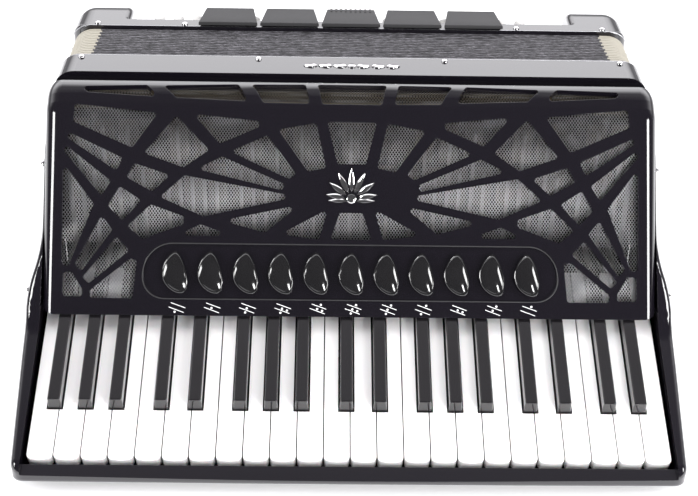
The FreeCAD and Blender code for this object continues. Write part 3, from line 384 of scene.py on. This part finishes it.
def dress(node, looks, chosen=None):
    """New materials on a CAD node; chosen gives each face's material number."""
    data = NODES[node].data
    data.materials.clear()
    for look in looks:
        data.materials.append(LOOK[look])
    for polygon in data.polygons:
        polygon.material_index = chosen(polygon) if chosen else 0


KEY_REAR = -46 * MM
PALLET_FRONT = 6.3 * MM
LARGEST_PLATE_FACE = 0.0016


def key_part(polygon):
    """0 for the key itself, 1 for its lever, 2 for the pallet's wood."""
    middle = polygon.center
    if middle.y > PALLET_FRONT:
        return 2
    if middle.y > KEY_REAR:
        return 1
    return 0


def dress_nodes():
    # Levers and pallets take metal and wood darkened as painted shade of the case's inside.
    for node in WHITE_KEYS:
        dress(node, ("ivory", "shade_darkened_aluminium", "wood"), key_part)
    for node in BLACK_KEYS:
        dress(node, ("ebony", "shade_darkened_aluminium", "wood"), key_part)
    plain = {
        "treble_case": "lacquer", "keyboard_frame": "lacquer", "treble_grille": "lacquer",
        "bass_case": "lacquer", "treble_hardware": "chrome", "bass_hardware": "chrome",
        "key_axle": "steel", "key_springs": "steel", "bass_buttons": "pearl",
        "air_button": "pearl", "strap_wheel": "chrome"}
    for node, look in plain.items():
        dress(node, (look,))
    for node in ("treble_reed_blocks", "bass_reed_blocks"):
        dress(node, ("wood", "zinc"), reed_part)


def reed_part(polygon):
    """1 for a reed plate, 0 for the wooden block."""
    return 1 if polygon.area < LARGEST_PLATE_FACE and abs(polygon.normal.z) > 0.5 else 0


# --- grille mesh ------------------------------------------------------------------------------

WIRE_PITCH = 1.9 * MM
WIRE_WIDTH = 0.55 * MM
WIRE_THICK = 0.40 * MM
WIRE_SLANT = 55.0
MESH_LIFT = -4.6 * MM
CROWN_SLOPE = 0.625
CROWN_START = 8 * MM
SLOPE_LENGTH = 15 * MM
MESH_FOOT = 5 * MM
MESH_INSET = 1 * MM
PANEL_LOW = 13 * MM
PANEL_TOP = 56 * MM
PANEL_CORNER = 20 * MM
PANEL_TAPER = 6 * MM
MESH_TOP = 166 * MM
PANEL_HALF = 164 * MM


def clip_line(point, run, low, high):
    """Ends of a straight line inside a rectangle, or None."""
    near, far = -1e9, 1e9
    for axis in range(2):
        if abs(run[axis]) < 1e-9:
            continue
        a = (low[axis] - point[axis]) / run[axis]
        b = (high[axis] - point[axis]) / run[axis]
        near = max(near, min(a, b))
        far = min(far, max(a, b))
    if far - near < 1e-4:
        return None
    return point + run * near, point + run * far


def weave_patch(mesh, matrix, low, high):
    """Two layers of slanted flat wires over a rectangle of a plane."""
    low, high = Vector(low), Vector(high)
    centre = (low + high) / 2
    reach = (high - low).length / 2
    count = int(reach / WIRE_PITCH)
    outward = matrix.to_3x3() @ Vector((0, 0, 1))
    for layer, sign in enumerate((1, -1)):
        slant = math.radians(WIRE_SLANT) * sign
        run = Vector((math.cos(slant), math.sin(slant)))
        aside = Vector((-run.y, run.x))
        height = (layer - 0.5) * WIRE_THICK
        for step in range(-count, count + 1):
            ends = clip_line(centre + aside * (step * WIRE_PITCH), run, low, high)
            if ends is None:
                continue
            start, end = (matrix @ Vector((p.x, p.y, height)) for p in ends)
            side = matrix.to_3x3() @ Vector((aside.x, aside.y, 0))
            bar(mesh, start, end, side, outward, WIRE_WIDTH, WIRE_THICK, ROUND_WIRE)


def crown_slope():
    """Plane of the mesh under the slope between the face and the crown, its origin at the bend."""
    low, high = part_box("grille_mesh")
    crest = Vector((0, CROWN_START, high.z - MESH_INSET / 2))
    tilt = Matrix.Rotation(math.atan(CROWN_SLOPE), 4, "X")
    return Matrix.Translation(crest) @ tilt @ Matrix.Translation((0, -SLOPE_LENGTH, 0))


def build_grille_mesh():
    low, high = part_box("grille_mesh")
    half = high.x - MESH_INSET
    inside = FACE @ Matrix.Translation((0, 0, MESH_LIFT))
    mesh = bmesh.new()
    weave_patch(mesh, inside, (-half, PANEL_TOP), (half, MESH_TOP))
    for side in (-1, 1):
        edges = sorted((side * half, side * PANEL_HALF))
        weave_patch(mesh, inside, (edges[0], MESH_FOOT), (edges[1], PANEL_TOP))
    front_wires = len(mesh.faces)
    weave_patch(mesh, crown_slope(), (-half, 0.0), (half, SLOPE_LENGTH))
    flat = Matrix.Translation((0, 0, high.z - MESH_INSET / 2))
    weave_patch(mesh, flat, (-half, CROWN_START), (half, high.y - MESH_INSET))
    for face in list(mesh.faces)[front_wires:]:
        face.material_index = 1
    piece = finish_piece("grille_wire_mesh", mesh, ("wire", "gauze"), "treble", 120)
    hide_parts("grille_mesh")


# --- register switches ------------------------------------------------------------------------

SWITCH_PITCH = 27.3
SWITCH_COUNT = 11
SWITCH_LOW = 17.0
LEAF = ((0.6, 33), (5.4, 27.5), (8.8, 18), (10.2, 8), (7.4, 0.8), (0.4, 1.2), (-6.6, 7), (-9.6, 16),
        (-6.2, 27))
LEAF_MIDDLE = Vector((0.6, 15.5))
LEAF_FOOT = 1.0
LEAF_TOP = 3.6
LEAF_CROWN = 1.5


def smooth_loop(points, steps):
    """Closed Catmull-Rom curve through points in the plane."""
    corners = [Vector(point) for point in points]
    count = len(corners)
    curve = []
    for index in range(count):
        p0, p1 = corners[index - 1], corners[index]
        p2, p3 = corners[(index + 1) % count], corners[(index + 2) % count]
        for step in range(steps):
            t = step / steps
            curve.append(0.5 * ((2 * p1) + (p2 - p0) * t + (2 * p0 - 5 * p1 + 4 * p2 - p3) * t ** 2
                                + (3 * p1 - p0 - 3 * p2 + p3) * t ** 3))
    return curve


def domed_leaf(mesh, x, foot, top, crown):
    """One switch: rounded rim and a gently crowned back."""
    outline = smooth_loop(LEAF, 6)
    profile = ((1.0, foot), (1.0, top - 0.5), (0.985, top - 0.1), (0.95, top + 0.15), (0.91, top),
               (0.87, top - 0.45), (0.70, top + crown * 0.28), (0.45, top + crown * 0.72),
               (0.2, top + crown * 0.96))
    rings = []
    for scale, height in profile:
        ring = []
        for point in outline:
            flat = LEAF_MIDDLE + (point - LEAF_MIDDLE) * scale
            ring.append(on_face(x + flat.x, SWITCH_LOW + flat.y, height))
        rings.append(ring)
    loft(mesh, rings, caps=False)
    mesh.verts.ensure_lookup_table()
    count = len(outline)
    mesh.faces.new(mesh.verts[-count:])
    mesh.faces.new(reversed(mesh.verts[-count * len(profile):-count * (len(profile) - 1)]))


def switch_positions():
    first = -(SWITCH_COUNT - 1) / 2
    return [(first + index) * SWITCH_PITCH for index in range(SWITCH_COUNT)]


def build_register_switches():
    mesh = bmesh.new()
    for x in switch_positions():
        domed_leaf(mesh, x, LEAF_FOOT, LEAF_TOP, LEAF_CROWN)
    piece = finish_piece("register_switch_leaves", mesh, ("leaf",),
                         "treble_registers", 30)
    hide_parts("treble_register_switches")


MARK_LINES = (((-2.6, 10.0), (8.6, 6.0)), ((-4.2, 6.6), (7.4, 2.4)))
MARK_DOTS = {"top": (4.4, 9.4), "mid": (1.6, 6.1), "right": (5.4, 4.7), "low": (0.4, 2.9)}
MARKS = (("low",), ("mid",), ("mid", "low"), ("mid", "right", "low"), ("top", "mid", "right"),
         ("top", "mid", "right", "low"), ("top", "mid", "low"), ("top", "low"), ("mid", "right"),
         ("top", "mid"), ("top",))


def flat_disc(mesh, matrix, x, up, radius, height, sides=14):
    rings = []
    for scale, lift in ((1.0, 0.0), (1.0, height * 0.7), (0.8, height)):
        rings.append([matrix @ Vector((x + radius * scale * math.cos(turn), up + radius * scale
                                       * math.sin(turn), lift))
                      for turn in (2 * math.pi * step / sides for step in range(sides))])
    loft(mesh, rings)


def build_register_marks():
    """Neutral register symbols under the switches: two slanted lines with dots."""
    mesh = bmesh.new()
    outward = FACE.to_3x3() @ Vector((0, 0, 1))
    for x, dots in zip(switch_positions(), MARKS):
        for start, end in MARK_LINES:
            a = on_face(x + start[0], start[1], 0.08)
            b = on_face(x + end[0], end[1], 0.08)
            bar(mesh, a, b, (b - a).normalized().cross(outward), outward, 0.5 * MM, 0.2 * MM)
        for dot in dots:
            across, up = MARK_DOTS[dot]
            flat_disc(mesh, FACE, (x + across) * MM, up * MM, 0.85 * MM, 0.22 * MM)
    finish_piece("register_marks", mesh, ("paint",), "treble")


# --- ornaments --------------------------------------------------------------------------------

def petal(mesh, matrix, length, width, height, turn, offset):
    """A raised pointed leaf lying in a plane, its root offset from the middle."""
    spin = matrix @ Matrix.Rotation(turn, 4, "Z")
    steps = 8
    outline = []
    for side in (1, -1):
        for step in range(steps):
            t = step / steps if side == 1 else 1 - step / steps
            across = side * width / 2 * math.sin(math.pi * t ** 0.8)
            outline.append((offset + length * t, across))
    middle = Vector((offset + length * 0.5, 0))
    rings = []
    for scale, lift in ((1.0, 0), (1.0, height * 0.6), (0.9, height), (0.72, height * 0.8),
                        (0.35, height * 0.5)):
        rings.append([spin @ Vector((middle.x + (a - middle.x) * scale, b * scale, lift))
                      for a, b in outline])
    loft(mesh, rings)


def build_grille_ornament():
    """Plain chrome fan of leaves on the grille's solid centre."""
    mesh = bmesh.new()
    centre = FACE @ Matrix.Translation((0, 92 * MM, 0))
    for index in range(7):
        angle = math.radians(90 + (index - 3) * 27)
        length = (20 - 1.4 * abs(index - 3)) * MM
        petal(mesh, centre, length, 4.6 * MM, 1.4 * MM, angle, 5 * MM)
    below = centre @ Matrix.Translation((0, -1.5 * MM, 0))
    for side in (0, math.pi):
        petal(mesh, below, 16 * MM, 3.4 * MM, 1.2 * MM, side, 3 * MM)
    flat_disc(mesh, centre, 0, 0, 3.6 * MM, 1.8 * MM, 24)
    finish_piece("grille_ornament", mesh, ("chrome",), "treble")


def build_band_ornament():
    """Plain chrome chain of leaves on the treble band."""
    low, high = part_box("treble_case")
    mesh = bmesh.new()
    band = Matrix.Translation((0, high.y - 17 * MM, high.z))
    for side in (0, math.pi):
        for index in range(3):
            petal(mesh, band, 11 * MM, 6.5 * MM, 1.0 * MM, side, (4 + 12 * index) * MM)
    flat_disc(mesh, band, 0, 0, 3.2 * MM, 1.2 * MM, 24)
    finish_piece("band_ornament", mesh, ("chrome",), "treble")


# --- case trim --------------------------------------------------------------------------------

def rounded_rectangle(half, low, high, radius, steps=10):
    """Points of an upright rounded rectangle in X and Z, from the lower right corner round."""
    centres = ((half - radius, low + radius, -90), (half - radius, high - radius, 0),
               (-half + radius, high - radius, 90), (-half + radius, low + radius, 180))
    points = []
    for x, z, start in centres:
        for step in range(steps + 1):
            angle = math.radians(start + 90 * step / steps)
            points.append((x + radius * math.cos(angle), z + radius * math.sin(angle)))
    return points


CASE_CORNER = 18 * MM
BEAD_INSET = 0.2 * MM


def build_edge_bead(name, node, edge_y, direction, body):
    """Slim raised bead round a case where the bellows frame meets it."""
    low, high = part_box(node)
    mesh = bmesh.new()
    rings = []
    for drop, shift in ((0.5, 0.0), (-0.05, 0.1), (-0.12, 0.5), (-0.05, 0.9), (0.5, 1.0)):
        inset = drop * MM
        loop = rounded_rectangle(high.x - inset, low.z + inset, high.z - inset, CASE_CORNER - inset)
        rings.append([Vector((x, edge_y + direction * shift * MM, z)) for x, z in loop])
    loft(mesh, rings, closed_path=True, caps=False)
    finish_piece(name, mesh, ("steel",), body)


def panel_taper(x, up):
    """Place along the recess, which narrows towards its top."""
    rise = (up - PANEL_LOW) / (PANEL_TOP - PANEL_LOW)
    return x * (1 - PANEL_TAPER / PANEL_HALF * rise)


def build_panel_bead():
    """Fine raised line round the recess of the register switches."""
    mesh = bmesh.new()
    rings = []
    for grow, lift in ((0.5, 0.0), (0.35, 0.3), (0.0, 0.42), (-0.35, 0.3), (-0.5, 0.0)):
        out = grow * MM
        loop = rounded_rectangle(PANEL_HALF + out, PANEL_LOW - out, PANEL_TOP + out, PANEL_CORNER + out)
        rings.append([FACE @ Vector((panel_taper(x, up), up, lift * MM)) for x, up in loop])
    loft(mesh, rings, caps=False)
    finish_piece("register_panel_bead", mesh, ("tab",), "treble")


def build_trim():
    build_panel_bead()
    treble_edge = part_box("treble_case")[1].y - BEAD_INSET
    bass_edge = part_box("bass_case")[0].y + BEAD_INSET
    build_edge_bead("treble_edge_bead", "treble_case", treble_edge, -1, "treble")
    build_edge_bead("bass_edge_bead", "bass_case", bass_edge, 1, "bass")


# --- bellows ----------------------------------------------------------------------------------

FOLDS = 17
FOLD_DEPTH = 20 * MM
CREST_SHARE = 0.74
CORNER_STEPS = 8
CORNER_POINTS = CORNER_STEPS + 3
ROW_WIDTH = 2 * MM
CREST_RUN = 1 * MM
EDGE_OF_FOLD = 0.01


def fold_profile(start, end):
    """Y, inset and fold number along the bellows: valley, crest, crest, valley."""
    pitch = (end - start) / FOLDS
    profile = []
    for fold in range(FOLDS):
        base = start + fold * pitch
        half_crest = pitch * CREST_SHARE / 2
        middle = base + pitch / 2
        profile.append((base, FOLD_DEPTH, fold))
        profile.append((middle - half_crest, 0.5 * MM, fold))
        profile.append((middle, 0.0, fold))
        profile.append((middle + half_crest, 0.5 * MM, fold))
    profile.append((end, FOLD_DEPTH, FOLDS - 1))
    return profile


def bellows_loop(half, low, high, inset, step_out):
    """One loop of the folded skin, with points where cream corners meet the cloth."""
    radius = max(CASE_CORNER - inset, 2 * MM)
    half, low, high = half - inset, low + inset, high - inset
    corners = ((half, low, -90), (half, high, 0), (-half, high, 90), (-half, low, 180))
    points = []
    for x, z, start in corners:
        centre = Vector((x - math.copysign(radius, x), z + (radius if start in (-90, 180) else -radius)))
        arc = [math.radians(start + 90 * step / CORNER_STEPS) for step in range(CORNER_STEPS + 1)]
        ring = [centre + Vector((math.cos(angle), math.sin(angle))) * radius for angle in arc]
        before = Vector((math.sin(arc[0]), -math.cos(arc[0])))
        after = Vector((-math.sin(arc[-1]), math.cos(arc[-1])))
        points.append(ring[0] + before * step_out)
        points.extend(ring)
        points.append(ring[-1] + after * step_out)
    return points


def build_bellows():
    """The whole folded skin, cloth on the runs and cream leather at the corners."""
    low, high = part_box("bellows_section_1")
    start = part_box("treble_case")[1].y
    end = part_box("bass_case")[0].y
    mesh = bmesh.new()
    uv_layer = mesh.loops.layers.uv.new("UVMap")
    outer = 1.2 * MM
    layers = []
    for y, inset, fold in fold_profile(start, end):
        step_out = (4.5 + 1.6 * (fold % 2) + 0.11 * fold) * MM
        loop = bellows_loop(high.x + outer, low.z - outer, high.z + outer, inset, step_out)
        layers.append([mesh.verts.new((point.x, y, point.y)) for point in loop])
    run = 0.0
    for row, (low_ring, high_ring) in enumerate(zip(layers, layers[1:])):
        run += FOLD_DEPTH if row % 4 in (0, 3) else CREST_RUN
        add_bellows_row(mesh, uv_layer, low_ring, high_ring, run)
    piece = finish_piece("bellows_skin", mesh, ("cloth", "cream"), smooth=60)
    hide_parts("bellows_section_1", "bellows_section_2")
    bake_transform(piece)
    spread_evenly(piece, start, end)


def add_bellows_row(mesh, uv_layer, low_ring, high_ring, run):
    """Faces between two loops, laid out flat in the UV map in metres."""
    count = len(low_ring)
    along = 0.0
    for index in range(count):
        after = (index + 1) % count
        a, b = low_ring[index], low_ring[after]
        c, d = high_ring[after], high_ring[index]
        face = mesh.faces.new((a, b, c, d))
        in_corner = index % CORNER_POINTS != CORNER_POINTS - 1
        face.material_index = 1 if in_corner else 0
        length = (b.co - a.co).length
        end = along + length
        corners = ((along, run), (end, run), (end, run + ROW_WIDTH), (along, run + ROW_WIDTH))
        for loop, uv in zip(face.loops, corners):
            loop[uv_layer].uv = uv
        along = end


def spread_evenly(piece, start, end):
    """Works out where each vertex lies among the folds, but moves none: the folds stay as built."""
    for vertex in piece.data.vertices:
        place_in_folds = (vertex.co.y - start) / (end - start) * FOLDS
        if abs(place_in_folds - round(place_in_folds)) > EDGE_OF_FOLD:
            place_in_folds = math.floor(place_in_folds) + 0.5


# --- bass side --------------------------------------------------------------------------------

TAB_PITCH = 52.4
TAB_COUNT = 5


def build_bass_tabs():
    """Five bevelled register tabs; the middle one has a ribbed outer edge."""
    low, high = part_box("bass_register_switches")
    near, far = low.y, high.y
    top = high.z
    foot = top - 3.6 * MM
    mesh = bmesh.new()
    for index in range(TAB_COUNT):
        x = (index - (TAB_COUNT - 1) / 2) * TAB_PITCH * MM
        rings = []
        for inset, z in ((0.8, foot), (0, foot + 0.6 * MM), (0, top - 0.9 * MM),
                         (0.35, top - 0.25 * MM), (1.0, top)):
            rings.append(tab_ring(x, near, far, inset * MM, z))
        loft(mesh, rings)
        if index == TAB_COUNT // 2:
            add_tab_ribs(mesh, x, far, top)
    piece = finish_piece("bass_register_tabs", mesh, ("tab",), "bass_registers", 35)
    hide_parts("bass_register_switches")


def tab_ring(x, near, far, inset, z):
    base, crown = 25 * MM - inset, 20.5 * MM - inset
    return [Vector((x - base, near + inset, z)), Vector((x + base, near + inset, z)),
            Vector((x + crown, far - inset, z)), Vector((x - crown, far - inset, z))]


def add_tab_ribs(mesh, x, far, top):
    count = 9
    for rib in range(count):
        offset = (rib - (count - 1) / 2) * 4.2 * MM
        start = Vector((x + offset, far - 6 * MM, top - 0.1 * MM))
        end = Vector((x + offset, far - 0.3 * MM, top - 0.1 * MM))
        bar(mesh, start, end, Vector((1, 0, 0)), Vector((0, 0, 1)), 1.6 * MM, 1.0 * MM)


def build_strap():
    """Bowed leather hand strap with a padded lining and stitched edges."""
    low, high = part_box("bass_strap")
    half = high.x
    width = high.z - low.z
    middle_z = (low.z + high.z) / 2
    thick = 5 * MM
    bow = high.y - low.y - thick
    section = []
    corners = ((-0.5, 0.15), (-0.49, 0.02), (-0.44, 0.0), (0.44, 0.0), (0.49, 0.02), (0.5, 0.15),
               (0.5, 0.75), (0.485, 0.9), (0.44, 0.88), (0.42, 0.94), (0.2, 1.0), (-0.2, 1.0),
               (-0.42, 0.94), (-0.44, 0.88), (-0.485, 0.9), (-0.5, 0.75))
    for across, out in corners:
        section.append((across * width, out * thick))
    mesh = bmesh.new()
    rings = []
    steps = 48
    for step in range(steps + 1):
        t = step / steps * 2 - 1
        base = low.y + bow * (1 - t * t)
        slope = math.atan2(-2 * bow * t, half)
        out = Vector((-math.sin(slope), math.cos(slope), 0))
        rings.append([Vector((t * half, base, middle_z + across)) + out * depth
                      for across, depth in section])
    loft(mesh, rings)
    piece = finish_piece("hand_strap", mesh, ("strap",), "bass", 50)
    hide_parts("bass_strap")
    build_strap_stitches(low, high, half, bow, thick, middle_z, width)


def build_strap_stitches(low, high, half, bow, thick, middle_z, width):
    mesh = bmesh.new()
    count = 88
    for edge in (-1, 1):
        z = middle_z + edge * width * 0.46
        for index in range(count):
            a = (index + 0.2) / count * 2 - 1
            b = (index + 0.8) / count * 2 - 1
            start = Vector((a * half * 0.98, low.y + bow * (1 - a * a) + thick * 0.93, z))
            end = Vector((b * half * 0.98, low.y + bow * (1 - b * b) + thick * 0.93, z))
            bar(mesh, start, end, Vector((0, 0, 1)), Vector((0, 1, 0)), 0.9 * MM, 0.6 * MM)
    finish_piece("strap_stitching", mesh, ("thread",), "bass")


def build_register_rails():
    """Brass slide rails of the register mechanism, seen through the crown windows."""
    low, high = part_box("grille_mesh")
    mesh = bmesh.new()
    half = high.x - 12 * MM
    for y, z in ((6.0, -9.5), (12.0, -11.5)):
        start = Vector((-half, y * MM, high.z + z * MM))
        end = Vector((half, y * MM, high.z + z * MM))
        bar(mesh, start, end, Vector((0, 1, 0)), Vector((0, 0, 1)), 4.2 * MM, 1.2 * MM)
    finish_piece("register_rails", mesh, ("brass",), "treble")


# --- stage ------------------------------------------------------------------------------------

CAMERA_PLACE = (-0.02031, -0.97244, 0.71592)
CAMERA_AIM = (0.01745, 0.83603, -0.54841)
CAMERA_UP = (-0.01086, 0.54862, 0.83600)
CAMERA_LENS = 71.592
FLOOR_SIZE = 9
FLOOR_LEVEL = -0.3 * MM
BANK_HEIGHT = 0.52
BANK_LEVEL = 2.4
DARK_LEVEL = 0.09
VEIL_LEVEL = 0.45
SOFT_LEVEL = 0.95


def build_floor():
    material, tree, shader = new_shader("studio_floor")
    speck = noise(tree, place(tree), 9, 3)
    set_inputs(tree, shader, {
        "Base Color": mix(tree, speck, (0.90, 0.90, 0.91, 1), (0.93, 0.93, 0.94, 1)), "Roughness": 0.6,
        "Emission Color": (1, 1, 1, 1), "Emission Strength": 0.30})
    bpy.ops.mesh.primitive_grid_add(x_subdivisions=4, y_subdivisions=4, size=FLOOR_SIZE,
                                    location=(0, 0, FLOOR_LEVEL))
    floor = bpy.context.object
    floor.name = "studio_floor"
    floor.data.materials.append(material)


def soft_light(name, place_at, aim, size, power, mirrored=True):
    """Rectangular lamp; one that isn't mirrored leaves no reflection in the lacquer."""
    data = bpy.data.lights.new(name, "AREA")
    data.shape = "RECTANGLE"
    data.size, data.size_y = size
    data.energy = power
    light = bpy.data.objects.new(name, data)
    light.location = place_at
    light.rotation_euler = (Vector(aim) - Vector(place_at)).to_track_quat("-Z", "Y").to_euler()
    light.visible_glossy = mirrored
    bpy.context.scene.collection.objects.link(light)


def build_world():
    """Studio surround: even soft light, with one bright bank behind for the glossy reflections."""
    world = bpy.data.worlds.new("studio")
    bpy.context.scene.world = world
    world.use_nodes = True
    tree = world.node_tree
    tree.nodes.clear()
    direction = add(tree, "TexCoord").outputs["Generated"]
    parts = add(tree, "SeparateXYZ", {"Vector": direction}).outputs
    height = maths(tree, "ABSOLUTE", maths(tree, "SUBTRACT", parts["Z"], BANK_HEIGHT))
    bank = maths(tree, "MULTIPLY", span(tree, height, 1.0, 0.0, 0.12, 0.34),
                 span(tree, parts["Y"], 0.0, 1.0, 0.1, 0.6))
    veil = span(tree, parts["Y"], DARK_LEVEL, VEIL_LEVEL, -0.05, 0.30)
    mirrored = maths(tree, "ADD", maths(tree, "MULTIPLY", bank, BANK_LEVEL), veil)
    path = add(tree, "LightPath").outputs
    scattered = add(tree, "Mix", {"Factor": path["Is Glossy Ray"], "A": SOFT_LEVEL, "B": mirrored})
    seen = scattered.outputs["Result"]
    level = add(tree, "Mix", {"Factor": path["Is Camera Ray"], "A": seen, "B": 1.0})
    shade = add(tree, "Background", {"Color": (0.98, 0.97, 1.0, 1), "Strength": level.outputs["Result"]})
    output = add(tree, "OutputWorld")
    tree.links.new(shade.outputs["Background"], output.inputs["Surface"])


def build_camera():
    data = bpy.data.cameras.new("photo_view")
    data.lens = CAMERA_LENS
    data.sensor_width = 36
    camera = bpy.data.objects.new("photo_view", data)
    forward = Vector(CAMERA_AIM).normalized()
    up = Vector(CAMERA_UP).normalized()
    right = forward.cross(up)
    matrix = Matrix((right, up, -forward)).transposed().to_4x4()
    matrix.translation = Vector(CAMERA_PLACE)
    camera.matrix_world = matrix
    bpy.context.scene.collection.objects.link(camera)
    bpy.context.scene.camera = camera


def build_stage():
    build_floor()
    build_world()
    soft_light("overhead", (0, 0.3, 1.9), (0, 0, 0.1), (2.4, 1.6), 26, mirrored=False)
    for name, side in (("left_strip", -1), ("right_strip", 1)):
        soft_light(name, (side * 1.30, -0.64, 0.66), (side * 0.23, -0.05, 0.16), (0.36, 0.60), 11)
    soft_light("window", (0.62, -1.15, 0.42), (0, -0.05, 0.15), (0.22, 0.34), 7)
    build_camera()
    bpy.context.scene.view_settings.view_transform = "Standard"


# --- assembly ---------------------------------------------------------------------------------

dress_nodes()
build_grille_mesh()
build_register_switches()
build_register_marks()
build_grille_ornament()
build_band_ornament()
build_trim()
build_bellows()
build_bass_tabs()
build_strap()
build_register_rails()
build_stage()
